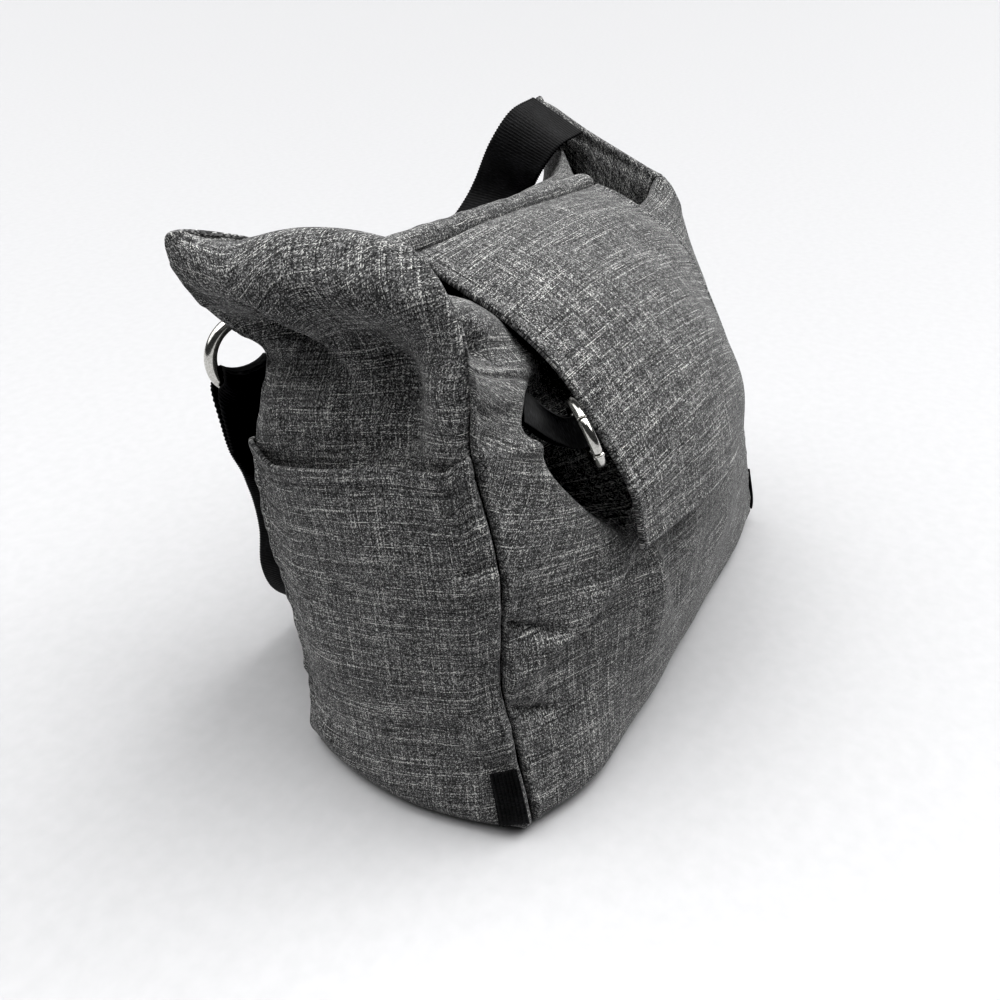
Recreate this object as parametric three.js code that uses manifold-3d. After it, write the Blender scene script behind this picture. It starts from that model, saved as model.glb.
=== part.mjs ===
// A flap-over diaper bag that stands on its base: a sewn cloth shell with open end pockets, a front flap,
// a webbing shoulder strap on a steel ring, and snap rings on tape loops under the flap.
// Millimetres. X runs along the bag, -Y is its front and Z is up. The base centre is the drawing's zero.
import * as THREE from "three";
import Module from "manifold-3d";

const SEAM_GAP = 1;
const BASE_INSET = 1.3;
const WALL = 2.4;
const POCKET_CLOTH = 1.8;
const POCKET_OPEN = 11;
const POCKET_REACH = 0.975;
const POCKET_LIE = 0.8;
const FLAP_CLOTH = 3;
const FLAP_HALF = 120;
const ROLL = {
  radius: 8.5, left: -137, right: 134, y: 51, leftZ: 315.5, rightZ: 299.5, taper: 12, endShare: 0.55,
};
const WEBBING = 2.2;
const STRAP_HALF = 25;
const STRAP_STEP = 0.4;
const LOOP = { length: 40, sewn: 1.7 };
const STRAP_RING = { radius: 22.4, wire: 3.8 };
const SNAP_RING = { radius: 17.7, wire: 2.8 };
const TAPE = { thick: 1.6, half: 9.5, sewn: 14, turn: 6, rise: 1.6, length: 30, climb: 12 };
const TAB = { thick: 2.4, lie: 3.4, low: 1.06, high: 1.92, seam: -0.97, free: -0.79, slant: 0.12 };

const table = (columns, rows) => rows.map((row) => Object.fromEntries(columns.map((c, i) => [c, row[i]])));

// Levels from the base rim up to the mouth: where the front and rear corner seams of an end pass, how far
// the end swells outward between them, and how far it is lifted there.
const END_COLUMNS = ["level", "fx", "fy", "fz", "rx", "ry", "rz", "out", "up"];
const LEFT_END = table(END_COLUMNS, [
  ["rim", -176, -62, 0, -176, 62, 0, 17, 0],
  ["heel", -199, -85, 9, -199, 80, 7, 21, 0],
  ["low", -199, -76, 50, -198, 81, 45, 17, 0],
  ["belly", -199, -64, 105, -197, 89, 104, 12, 0],
  ["chest", -199, -63, 180, -197, 101, 155, 7, 0],
  ["pocket", -199, -47, 243, -196, 104, 207, 0, 0],
  ["waist", -198, -46, 272, -176, 110, 242, -16, 0],
  ["brow", -196, -43, 298, -195, 115, 281, -6, 0],
  ["ear", -193, -36, 317, -217, 117, 308, 4, 3],
  ["tip", -187, -22, 331, -226, 119, 329, 3, 7],
  ["crown", -176, 0, 339, -211, 109, 342, -2, 6],
  ["lip", -146, 14, 322, -150, 60, 318, 0, 0],
]);
const RIGHT_END = table(END_COLUMNS, [
  ["rim", 176, -62, 0, 176, 62, 0, 17, 0],
  ["heel", 199, -85, 9, 199, 80, 7, 21, 0],
  ["low", 201, -79, 50, 199, 81, 45, 17, 0],
  ["belly", 201, -66, 100, 198, 89, 104, 12, 0],
  ["chest", 200, -42, 160, 197, 101, 155, 7, 0],
  ["pocket", 198, -22, 204, 195, 104, 207, 0, 0],
  ["waist", 195, -8, 230, 178, 110, 242, -12, 0],
  ["brow", 192, -1, 252, 190, 118, 283, -4, 0],
  ["ear", 191, 1, 271, 195, 126, 312, 3, 0],
  ["tip", 188, 7, 286, 190, 131, 338, 2, 0],
  ["crown", 176, 18, 293, 174, 118, 342, 0, 0],
  ["lip", 142, 26, 288, 146, 66, 308, 0, 0],
]);
// The middle of the front and back walls at the same levels, and how late a wall turns to its corner seams.
const MIDDLE = table(["level", "fy", "fz", "fturn", "by", "bz", "bturn"], [
  ["rim", -84, 0, 3.0, 84, 0, 3.0],
  ["heel", -103, 9, 2.6, 106, 8, 2.6],
  ["low", -110, 45, 2.6, 113, 45, 2.6],
  ["belly", -111, 100, 2.6, 118, 102, 2.6],
  ["chest", -103, 158, 2.6, 120, 152, 2.6],
  ["pocket", -84, 200, 3.0, 119, 196, 2.8],
  ["waist", -62, 229, 4.0, 116, 230, 3.0],
  ["brow", -40, 253, 6.0, 108, 258, 3.2],
  ["ear", -16, 271, 9.0, 96, 281, 3.4],
  ["tip", 2, 280, 11.0, 82, 297, 3.6],
  ["crown", 13, 283, 12.0, 68, 304.6, 3.8],
  ["lip", 18, 276, 12.0, 59, 299, 4.0],
]);
// The largest folds and dents: a place on a wall, its spread along and up the wall, and the push there.
const FOLDS = table(["wall", "s", "v", "wide", "high", "px", "py", "pz"], [
  ["left", 0.3, 6.3, 0.35, 0.6, 9, 0, 0],
  ["left", -0.5, 5.9, 0.25, 0.5, 7, 0, 0],
  ["left", -0.08, 6.1, 0.14, 0.7, -5, 0, 0],
  ["left", 0.44, 9.8, 0.3, 1.0, 0, 0, -12],
  ["front", -0.9, 7.6, 0.08, 0.6, 0, 7, -2],
  ["front", -0.8, 5.3, 0.2, 0.3, 0, 5, 0],
  ["front", -0.42, 3.4, 0.07, 0.9, 0, -5, 0],
  ["front", 0.6, 4.6, 0.24, 1.4, 0, 14, 0],
  ["right", 0.2, 6.2, 0.35, 0.7, -7, 0, 0],
  ["back", 0.72, 8.4, 0.17, 1.3, 0, -11, -4],
  ["back", 0.86, 9.9, 0.16, 0.9, 0, -3, -10],
]);
// The flap from its sewn edge down to its hem: its left edge, its middle and its right edge.
const FLAP = table(["ly", "lz", "my", "mz", "ry", "rz"], [
  [41.1, 314, 41.8, 310, 41.8, 301.5],
  [21, 305, 22, 311, 22, 296],
  [-4, 295, -4, 305, -4, 284],
  [-30, 282, -34, 292, -31, 266],
  [-56, 262, -64, 270, -51, 237],
  [-80, 233, -90, 241, -71, 200],
  [-102, 201, -109, 205, -87, 168],
  [-111, 167, -119, 160, -92, 129],
]);
// The shoulder strap below its ring loop: its centre line and the way its width lies.
const STRAP = table(["x", "y", "z", "wx", "wy", "wz"], [
  [-147, 134.5, 165, -0.9, 0.43, 0],
  [-143, 136, 138, -0.72, 0.69, 0],
  [-143, 138, 108, -0.35, 0.93, 0],
  [-146, 139, 78, -0.08, 1, 0],
  [-139, 140, 52, 0, 1, 0],
  [-118, 142, 34, 0, 1, 0],
  [-90, 145, 38, 0, 1, 0],
  [-50, 149, 80, 0, 1, 0],
  [0, 151, 142, 0, 1, 0],
  [46, 151, 196, 0, 1, 0],
  [92, 147, 240, 0, 1, 0],
  [122, 137, 268, 0, 1, 0.05],
  [131, 131, 286, 0, 0.98, 0.15],
  [135, 123, 311, 0, 0.96, 0.26],
  [147, 115.5, 330, 0, 0.95, 0.32],
  [170, 109, 339.5, 0, 0.95, 0.32],
]);
const LEVELS = [0, 0.4, 0.8, 1.3, 2, 3, 4, 4.6, 5, 5.6, 6.1, 6.6, 7.2, 8, 8.6, 9.2, 9.8, 10.4, 11];
const POCKET_LEVELS = { foot: 0.8, rim: 5 };
const COLUMNS = { end: 9, front: 14, back: 12 };

// The hanger's rear places (y, z) below and above the ring: both layers end in the ear's rear seam.
const HANGER = { reach: 6, under: [[113.2, 281], [119, 279]], over: [[135, 285], [122, 290], [108.6, 291]] };
const STRAP_RING_AT = new THREE.Vector3(-165, 132, 251);
const STRAP_RING_AXIS = new THREE.Vector3(0.34, 0.94, 0).normalize();
const STRAP_FALL = new THREE.Vector3(0.2, 0.02, -0.98).normalize();
const SNAP_RING_AT = new THREE.Vector3(-142, -80.5, 243.8);
const SNAP_RING_AXIS = new THREE.Vector3(0.652, -0.661, 0.376).normalize();
const SNAP_RING_TOP = new THREE.Vector3(0.034, 0.519, 0.854);
const TAPE_RUN = new THREE.Vector3(-0.966, 0.234, -0.143);
// The gate's ends in degrees round the ring, its swing, and the sizes of its tongue, slot and pin.
const GATE = {
  free: 58, hinge: 122, swing: 25, spare: 2, gap: 0.4,
  tongue: 2, slot: 2.7, round: 1.9, overlap: 4.5, pin: 0.8, pinShy: 0.6, hole: 1.1, back: 2.4,
};

const cloth = new THREE.MeshStandardMaterial({ color: 0x5a5a5e, roughness: 0.95, metalness: 0 });
const webbing = new THREE.MeshStandardMaterial({ color: 0x141416, roughness: 0.85, metalness: 0 });
const steel = new THREE.MeshStandardMaterial({ color: 0xc9cac8, roughness: 0.18, metalness: 1 });

const wasm = await Module();
wasm.setup();

// A Catmull-Rom value of one table column at row number v.
function along(rows, column, v) {
  const last = rows.length - 1;
  const at = Math.min(Math.max(v, 0), last);
  const i = Math.min(Math.floor(at), last - 1);
  const t = at - i;
  const value = (k) => {
    if (k < 0) return 2 * rows[0][column] - rows[1][column];
    if (k > last) return 2 * rows[last][column] - rows[last - 1][column];
    return rows[k][column];
  };
  const a = value(i - 1);
  const b = value(i);
  const c = value(i + 1);
  const d = value(i + 2);
  return b + 0.5 * t * (c - a + t * (2 * a - 5 * b + 4 * c - d + t * (3 * (b - c) + d - a)));
}

const mix = (a, b, k) => a + (b - a) * k;
const bell = (x) => Math.exp(-x * x);

// Push a wall point by the folds that lie near it.
function folded(point, wall, s, v) {
  for (const f of FOLDS) {
    if (f.wall !== wall) continue;
    const k = bell((s - f.s) / f.wide) * bell((v - f.v) / f.high) * (1 - Math.abs(s) ** 12);
    point.x += f.px * k;
    point.y += f.py * k;
    point.z += f.pz * k;
  }
  return point;
}

// A point of an end wall: s runs from its front seam (-1) to its rear seam (1), v up the levels.
function endPoint(side, s, v) {
  const rows = side < 0 ? LEFT_END : RIGHT_END;
  const k = (s + 1) / 2;
  const swell = 1 - Math.abs(s) ** 2.3;
  const point = new THREE.Vector3(
    mix(along(rows, "fx", v), along(rows, "rx", v), k) + side * along(rows, "out", v) * swell,
    mix(along(rows, "fy", v), along(rows, "ry", v), k),
    mix(along(rows, "fz", v), along(rows, "rz", v), k) + along(rows, "up", v) * swell,
  );
  return folded(point, side < 0 ? "left" : "right", s, v);
}

// A point of the front or back wall: s runs from its left seam (-1) to its right seam (1).
function wallPoint(face, s, v) {
  const seam = s < 0 ? LEFT_END : RIGHT_END;
  const own = face === "front" ? "f" : "b";
  const corner = face === "front" ? "f" : "r";
  const k = Math.abs(s) ** along(MIDDLE, own + "turn", v);
  const left = along(LEFT_END, corner + "x", v);
  const right = along(RIGHT_END, corner + "x", v);
  const point = new THREE.Vector3(
    mix(left, right, (s + 1) / 2),
    mix(along(MIDDLE, own + "y", v), along(seam, corner + "y", v), k),
    mix(along(MIDDLE, own + "z", v), along(seam, corner + "z", v), k),
  );
  return folded(point, face, s, v);
}

function geometryOf(points, triangles) {
  let volume = 0;
  for (const [a, b, c] of triangles) {
    volume += points[a].dot(points[b].clone().cross(points[c]));
  }
  const flat = new Float32Array(points.length * 3);
  points.forEach((p, i) => p.toArray(flat, i * 3));
  const index = triangles.flatMap(([a, b, c]) => (volume > 0 ? [a, b, c] : [a, c, b]));
  const geometry = new THREE.BufferGeometry();
  geometry.setAttribute("position", new THREE.BufferAttribute(flat, 3));
  geometry.setIndex(index);
  return geometry;
}

// The closed solid between two grids of points of the same size.
function sheet(outer, inner) {
  const rows = outer.length;
  const cols = outer[0].length;
  const points = [...outer.flat(), ...inner.flat()];
  const id = (face, i, j) => face * rows * cols + i * cols + j;
  const triangles = [];
  const quad = (a, b, c, d) => triangles.push([a, b, c], [a, c, d]);
  for (let i = 0; i < rows - 1; i++) {
    for (let j = 0; j < cols - 1; j++) {
      quad(id(0, i, j), id(0, i, j + 1), id(0, i + 1, j + 1), id(0, i + 1, j));
      quad(id(1, i, j), id(1, i + 1, j), id(1, i + 1, j + 1), id(1, i, j + 1));
    }
    quad(id(0, i, 0), id(0, i + 1, 0), id(1, i + 1, 0), id(1, i, 0));
    quad(id(0, i, cols - 1), id(1, i, cols - 1), id(1, i + 1, cols - 1), id(0, i + 1, cols - 1));
  }
  for (let j = 0; j < cols - 1; j++) {
    quad(id(0, 0, j), id(1, 0, j), id(1, 0, j + 1), id(0, 0, j + 1));
    quad(id(0, rows - 1, j), id(0, rows - 1, j + 1), id(1, rows - 1, j + 1), id(1, rows - 1, j));
  }
  return geometryOf(points, triangles);
}

// A solid through rings of points: capped at both ends, or closed on itself.
function loft(rings, closed = false) {
  const n = rings[0].length;
  const points = rings.flat();
  const triangles = [];
  const last = closed ? rings.length : rings.length - 1;
  for (let i = 0; i < last; i++) {
    const next = (i + 1) % rings.length;
    for (let j = 0; j < n; j++) {
      const k = (j + 1) % n;
      triangles.push([i * n + j, i * n + k, next * n + k], [i * n + j, next * n + k, next * n + j]);
    }
  }
  if (!closed) {
    for (let j = 1; j < n - 1; j++) {
      const end = (rings.length - 1) * n;
      triangles.push([0, j + 1, j], [end, end + j, end + j + 1]);
    }
  }
  return geometryOf(points, triangles);
}

// The outward direction at each point of a grid, averaged over the faces round it.
function normalsOf(gridPoints, wraps, outwardAt) {
  const rows = gridPoints.length;
  const cols = gridPoints[0].length;
  const normals = gridPoints.map((row) => row.map(() => new THREE.Vector3()));
  const lastCol = wraps ? cols : cols - 1;
  for (let i = 0; i < rows - 1; i++) {
    for (let j = 0; j < lastCol; j++) {
      const k = (j + 1) % cols;
      const across = gridPoints[i + 1][k].clone().sub(gridPoints[i][j]);
      const other = gridPoints[i + 1][j].clone().sub(gridPoints[i][k]);
      const face = across.cross(other).normalize();
      normals[i][j].add(face);
      normals[i][k].add(face);
      normals[i + 1][j].add(face);
      normals[i + 1][k].add(face);
    }
  }
  const { row, col, direction } = outwardAt;
  const sign = normals[row][col].dot(direction) < 0 ? -1 : 1;
  normals.forEach((line) => line.forEach((normal) => normal.normalize().multiplyScalar(sign)));
  return normals;
}

function shifted(grid, normals, by) {
  return grid.map((row, i) => row.map((p, j) => p.clone().addScaledVector(normals[i][j], by)));
}

// Columns lie closer together towards the seams.
const spaced = (n) => Array.from({ length: n + 1 }, (_, i) => {
  const u = (2 * i) / n - 1;
  return 1.25 * u - 0.25 * u ** 3;
});

// The four walls as one ring of columns: left end, back, right end, front.
const ringWalls = [
  { name: "left_end_panel", columns: spaced(COLUMNS.end), at: (s, v) => endPoint(-1, s, v) },
  { name: "back_panel", columns: spaced(COLUMNS.back), at: (s, v) => wallPoint("back", s, v) },
  { name: "right_end_panel", columns: spaced(COLUMNS.end), at: (s, v) => endPoint(1, -s, v) },
  { name: "front_panel", columns: spaced(COLUMNS.front), at: (s, v) => wallPoint("front", -s, v) },
];
const shell = LEVELS.map((v) => ringWalls.flatMap((w) => w.columns.slice(0, -1).map((s) => w.at(s, v))));
const outside = { row: 5, col: 4, direction: new THREE.Vector3(-1, 0, 0) };
const shellNormals = normalsOf(shell, true, outside);
const lining = shifted(shell, shellNormals, -WALL);

// One wall cut out of the ring, its two seam edges drawn in by half the seam gap.
function cutWall(grid, first, count) {
  return grid.map((row) => {
    const line = Array.from({ length: count + 1 }, (_, j) => row[(first + j) % row.length].clone());
    const draw = (edge, next) => edge.addScaledVector(next.clone().sub(edge).normalize(), SEAM_GAP / 2);
    draw(line[0], line[1]);
    draw(line[count], line[count - 1]);
    return line;
  });
}

const group = new THREE.Group();
group.name = "diaper_bag";
function piece(name, geometry, material) {
  const mesh = new THREE.Mesh(geometry, material);
  mesh.name = name;
  group.add(mesh);
  return mesh;
}

let firstColumn = 0;
for (const wall of ringWalls) {
  const count = wall.columns.length - 1;
  piece(wall.name, sheet(cutWall(shell, firstColumn, count), cutWall(lining, firstColumn, count)), cloth);
  firstColumn += count;
}

// The flat base, sewn inside the rim of the walls.
const rimLine = shell[0].map((p) => p.clone().multiplyScalar(1 - BASE_INSET / p.length()));
piece("base_panel", loft([rimLine, rimLine.map((p) => p.clone().setZ(WALL))]), cloth);

// An open end pocket: its foot and sides follow the end wall, its rim stands away from it.
function pocket(side) {
  const { foot, rim } = POCKET_LEVELS;
  const levels = LEVELS.filter((v) => v >= foot && v <= rim);
  const columns = spaced(COLUMNS.end);
  const wall = levels.map((v) => columns.map((s) => endPoint(side, s * POCKET_REACH, v)));
  const normals = normalsOf(wall, false, { row: 4, col: 4, direction: new THREE.Vector3(side, 0, 0) });
  const stand = (extra) => wall.map((row, i) => row.map((p, j) => {
    const open = POCKET_OPEN * (1 - columns[j] ** 2) * ((levels[i] - foot) / (rim - foot)) ** 2;
    return p.clone().addScaledVector(normals[i][j], POCKET_LIE + open + extra);
  }));
  return sheet(stand(POCKET_CLOTH), stand(0));
}
piece("left_pocket", pocket(-1), cloth);
piece("right_pocket", pocket(1), cloth);

// The rolled top edge of the back wall.
function roll() {
  const steps = 14;
  const sides = 12;
  return loft(Array.from({ length: steps + 1 }, (_, i) => {
    const u = i / steps;
    const x = mix(ROLL.left, ROLL.right, u);
    const end = Math.min(x - ROLL.left, ROLL.right - x);
    const r = ROLL.radius * mix(ROLL.endShare, 1, Math.min(1, end / ROLL.taper));
    const z = mix(ROLL.leftZ, ROLL.rightZ, u);
    return Array.from({ length: sides }, (_, j) => {
      const a = (j / sides) * 2 * Math.PI;
      return new THREE.Vector3(x, ROLL.y + r * Math.cos(a), z + r * Math.sin(a));
    });
  }));
}
piece("top_roll", roll(), cloth);

// The flap, sewn along the roll and hanging free over the mouth and the front.
function flapPoint(s, v) {
  const left = (s * (s - 1)) / 2;
  const middle = 1 - s * s;
  const right = (s * (s + 1)) / 2;
  const blend = (axis) => {
    const edges = left * along(FLAP, "l" + axis, v) + right * along(FLAP, "r" + axis, v);
    return edges + middle * along(FLAP, "m" + axis, v);
  };
  return new THREE.Vector3(s * FLAP_HALF, blend("y"), blend("z"));
}
function flap() {
  const rows = 14;
  const columns = 8;
  const hem = FLAP.length - 1;
  const grid = Array.from({ length: rows + 1 }, (_, i) =>
    Array.from({ length: columns + 1 }, (_, j) => flapPoint((2 * j) / columns - 1, (hem * i) / rows)));
  const normals = normalsOf(grid, false, { row: 6, col: 4, direction: new THREE.Vector3(0, -1, 1) });
  return sheet(grid, shifted(grid, normals, -FLAP_CLOTH));
}
piece("flap", flap(), cloth);

// A ring of round steel.
function ringGeometry(at, axis, top, { radius, wire }, sides = 8, steps = 28) {
  const side = axis.clone().cross(top).normalize();
  const rings = Array.from({ length: steps }, (_, i) => {
    const a = (i / steps) * 2 * Math.PI;
    const out = top.clone().multiplyScalar(Math.cos(a)).addScaledVector(side, Math.sin(a));
    return Array.from({ length: sides }, (_, j) => {
      const b = (j / sides) * 2 * Math.PI;
      const reach = radius + wire * Math.cos(b);
      return at.clone().addScaledVector(out, reach).addScaledVector(axis, wire * Math.sin(b));
    });
  });
  return loft(rings, true);
}
const UP = new THREE.Vector3(0, 0, 1);
piece("strap_ring", ringGeometry(STRAP_RING_AT, STRAP_RING_AXIS, UP, STRAP_RING), steel);

// Webbing that wraps the wire of the strap ring. The rows hold a centre, a width direction, a half width
// and how far the selvages rise towards the ring's centre.
const WRAP = 0.72;
const WRAP_PLAY = 1.3;
const WRAP_RADIUS = STRAP_RING.wire + WEBBING / 2 + WRAP_PLAY;
const ringSide = new THREE.Vector3(-STRAP_RING_AXIS.y, STRAP_RING_AXIS.x, 0);
function wrapRow(pole, fall, out, inward) {
  const wire = STRAP_RING_AT.clone().addScaledVector(UP, pole * STRAP_RING.radius);
  const reach = STRAP_RING.radius - inward;
  const fade = inward > -4 ? 1 : bell((inward + 4) / 16);
  const centre = wire.addScaledVector(STRAP_RING_AXIS, out);
  centre.addScaledVector(fall, -inward);
  return {
    centre,
    width: ringSide.clone(),
    half: Math.min(STRAP_HALF, reach * Math.sin(WRAP)),
    cup: reach * (1 - Math.cos(WRAP)) * fade,
    lift: UP.clone().multiplyScalar(-pole),
  };
}
function ribbonRow(row) {
  return {
    centre: new THREE.Vector3(row.x, row.y, row.z),
    width: new THREE.Vector3(row.wx, row.wy, row.wz).normalize(),
    half: STRAP_HALF,
    cup: 0,
    lift: UP.clone(),
  };
}
function turnRows(pole, fall, steps) {
  return Array.from({ length: steps + 1 }, (_, i) => {
    const a = (i / steps) * Math.PI;
    return wrapRow(pole, fall, -WRAP_RADIUS * Math.cos(a), WRAP_RADIUS * Math.sin(a));
  });
}
// A flat band of webbing through such rows.
function band(rows, across, thick) {
  const grid = rows.map((row) => Array.from({ length: across + 1 }, (_, j) => {
    const s = (2 * j) / across - 1;
    const side = Math.sin(WRAP * s) / Math.sin(WRAP);
    const rise = (1 - Math.cos(WRAP * s)) / (1 - Math.cos(WRAP));
    const point = row.centre.clone().addScaledVector(row.width, row.half * side);
    return point.addScaledVector(row.lift, row.cup * rise);
  }));
  const normals = normalsOf(grid, false, { row: 0, col: 0, direction: UP });
  return sheet(shifted(grid, normals, thick / 2), shifted(grid, normals, -thick / 2));
}
function strapRows() {
  const keys = ["x", "y", "z", "wx", "wy", "wz"];
  const rest = [];
  const steps = Math.round((STRAP.length - 1) / STRAP_STEP);
  for (let i = 0; i <= steps; i++) {
    rest.push(ribbonRow(Object.fromEntries(keys.map((key) => [key, along(STRAP, key, i * STRAP_STEP)]))));
  }
  const drops = [LOOP.length, 0.6 * LOOP.length, 0.25 * LOOP.length];
  const layer = (sign, drop) => {
    const closing = (drop / LOOP.length) ** 0.7;
    return wrapRow(-1, STRAP_FALL, sign * mix(WRAP_RADIUS, LOOP.sewn, closing), -drop);
  };
  const front = drops.map((drop) => layer(-1, drop));
  const rear = drops.toReversed().map((drop) => layer(1, drop));
  return [...front, ...turnRows(-1, STRAP_FALL, 6), ...rear, ...rest];
}
piece("shoulder_strap", band(strapRows(), 2, WEBBING), webbing);

// The short webbing loop that holds the strap ring behind the left ear.
function hangerRows() {
  const fall = UP.clone();
  const turn = turnRows(1, fall, 6);
  const lead = ([y, z]) => ({
    ...wrapRow(1, fall, 0, -HANGER.reach),
    centre: new THREE.Vector3(STRAP_RING_AT.x, y, z),
    cup: 0,
  });
  return [...HANGER.under.map(lead), ...turn, ...HANGER.over.map(lead)];
}
piece("ring_hanger", band(hangerRows(), 2, WEBBING), webbing);

// A snap ring hung on a tape loop that is sewn to the front wall under the flap's left edge. A sprung gate
// closes the ring and swings inward on a pin. Drawn flat with X to the ring's top, then set in place.
const ringFrame = new THREE.Matrix4().makeBasis(
  SNAP_RING_TOP.clone().normalize(),
  SNAP_RING_AXIS.clone().cross(SNAP_RING_TOP).normalize(),
  SNAP_RING_AXIS,
).setPosition(SNAP_RING_AT);
const ringPoint = (degrees, radius = SNAP_RING.radius) => {
  const a = THREE.MathUtils.degToRad(degrees);
  return new THREE.Vector2(radius * Math.cos(a), radius * Math.sin(a));
};
function solidOf(geometry) {
  return new wasm.Manifold(new wasm.Mesh({
    numProp: 3,
    vertProperties: new Float32Array(geometry.attributes.position.array),
    triVerts: new Uint32Array(geometry.index.array),
  }));
}
function geometryFrom(solid) {
  const mesh = solid.getMesh();
  const geometry = new THREE.BufferGeometry();
  geometry.setAttribute("position", new THREE.BufferAttribute(new Float32Array(mesh.vertProperties), 3));
  geometry.setIndex(Array.from(mesh.triVerts));
  return geometry;
}
// A flat plate with the corners given, as thick as asked, across the ring's plane.
function plate(corners, thick) {
  const layer = (z) => corners.map((c) => new THREE.Vector3(c.x, c.y, z));
  return solidOf(loft([layer(-thick / 2), layer(thick / 2)]));
}
const disc = (at, radius, thick) => plate(
  Array.from({ length: 16 }, (_, i) => {
    const a = (i / 16) * 2 * Math.PI;
    return new THREE.Vector2(at.x + radius * Math.cos(a), at.y + radius * Math.sin(a));
  }),
  thick,
);
function snapRing() {
  const { wire } = SNAP_RING;
  const right = new THREE.Vector3(1, 0, 0);
  const whole = solidOf(ringGeometry(new THREE.Vector3(), UP, right, SNAP_RING, 8, 36));
  const root = ringPoint(GATE.hinge);
  const towards = new THREE.Vector2(root.y, -root.x).normalize();
  const inward = root.clone().negate().normalize();
  const pivot = root.clone().addScaledVector(towards, -GATE.back);
  const nose = ringPoint(GATE.free);
  const chord = pivot.clone().sub(nose).normalize();
  const outward = new THREE.Vector2(-chord.y, chord.x);
  if (outward.dot(nose) < 0) outward.negate();
  const hingeAt = (t, depth) => root.clone().addScaledVector(towards, t).addScaledVector(inward, depth);
  const noseAt = (t, depth) => nose.clone().addScaledVector(chord, t).addScaledVector(outward, -depth);
  const reach = 3 * wire;
  const depth = 2 * wire;
  const slope = Math.tan(THREE.MathUtils.degToRad(GATE.swing + GATE.spare));
  const closing = (d) => GATE.gap + Math.max(0, d + wire) * slope;
  const opening = plate(
    [noseAt(-GATE.gap / 2, -reach), hingeAt(0, -reach), hingeAt(0, depth), noseAt(-GATE.gap / 2, depth)],
    4 * wire,
  );
  const gateArea = plate(
    [noseAt(GATE.gap / 2, -reach), hingeAt(closing(-reach), -reach), hingeAt(closing(-wire), -wire),
      hingeAt(closing(depth), depth), noseAt(GATE.gap / 2, depth)],
    4 * wire,
  );
  const boxAt = (t0, t1, d, thick) =>
    plate([hingeAt(t0, -d), hingeAt(t1, -d), hingeAt(t1, d), hingeAt(t0, d)], thick);
  const slot = boxAt(-GATE.back - GATE.round - GATE.gap, 1, 2 * wire, GATE.slot);
  const hole = disc(pivot, GATE.hole, 4 * wire);
  const knuckle = disc(pivot, GATE.round, GATE.tongue);
  const tongue = boxAt(-GATE.back, GATE.overlap, GATE.round, GATE.tongue).add(knuckle);
  return {
    body: whole.subtract(opening).subtract(slot).subtract(hole),
    gate: whole.intersect(gateArea).add(tongue).subtract(hole),
    pin: disc(pivot, GATE.pin, 2 * wire - GATE.pinShy),
    pivot: new THREE.Vector3(pivot.x, pivot.y, 0).applyMatrix4(ringFrame),
  };
}
const snap = snapRing();
for (const [name, solid] of [["snap_ring", snap.body], ["snap_gate", snap.gate], ["snap_pin", snap.pin]]) {
  piece(name, geometryFrom(solid).applyMatrix4(ringFrame), steel);
}
function tapeRows() {
  const side = SNAP_RING_AXIS.clone().cross(SNAP_RING_TOP).normalize();
  const width = SNAP_RING_TOP.clone().normalize();
  const wire = SNAP_RING_AT.clone().addScaledVector(side, -SNAP_RING.radius);
  const run = TAPE_RUN.clone().addScaledVector(width, -TAPE_RUN.dot(width)).normalize();
  const off = width.clone().cross(run).normalize();
  const row = (u, w) => {
    const k = Math.max(0, u / TAPE.length);
    const centre = wire.clone().addScaledVector(run, u).addScaledVector(off, w);
    return {
      centre: centre.addScaledVector(width, TAPE.climb * k * k),
      width: width.clone().addScaledVector(run, (-2 * TAPE.climb * k) / TAPE.length).normalize(),
      half: mix(TAPE.half, TAPE.sewn, k * k),
      cup: 0,
      lift: UP.clone(),
    };
  };
  // How far along the tape, half the opening between its two layers, and how far they stand off the wall.
  const lead = [[1, 1.05, 1.3], [0.6, 2.8, 1.3], [0.25, 5.2, 1.6]];
  const turns = 8;
  const arc = Array.from({ length: turns + 1 }, (_, i) => {
    const a = Math.PI / 2 + (i / turns) * Math.PI;
    return row(TAPE.turn * Math.cos(a), TAPE.rise - TAPE.turn * Math.sin(a));
  });
  return [
    ...lead.map(([u, w, rise]) => row(u * TAPE.length, rise - w)),
    ...arc,
    ...lead.toReversed().map(([u, w, rise]) => row(u * TAPE.length, rise + w)),
  ];
}
piece("ring_tape", band(tapeRows(), 1, TAPE.thick), webbing);

// A webbing tab caught in each lower front corner seam, folded onto the pocket.
function cornerTab(side) {
  const rows = 4;
  const columns = 3;
  const grid = Array.from({ length: rows + 1 }, (_, i) => Array.from({ length: columns + 1 }, (_, j) => {
    const v = mix(TAB.low, TAB.high, i / rows) + mix(TAB.slant, 0, j / columns);
    return endPoint(side, mix(TAB.seam, TAB.free, j / columns), v);
  }));
  const normals = normalsOf(grid, false, { row: 2, col: 2, direction: new THREE.Vector3(side, 0, 0) });
  return sheet(shifted(grid, normals, TAB.lie + TAB.thick), shifted(grid, normals, TAB.lie));
}
piece("left_corner_tab", cornerTab(-1), webbing);
piece("right_corner_tab", cornerTab(1), webbing);

// The part's zero is the middle of its outline on the ground.
const outline = new THREE.Box3().setFromObject(group);
const middle = outline.getCenter(new THREE.Vector3());
group.position.set(-middle.x, -middle.y, -outline.min.z);
group.updateMatrixWorld(true);
export default group;
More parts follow.
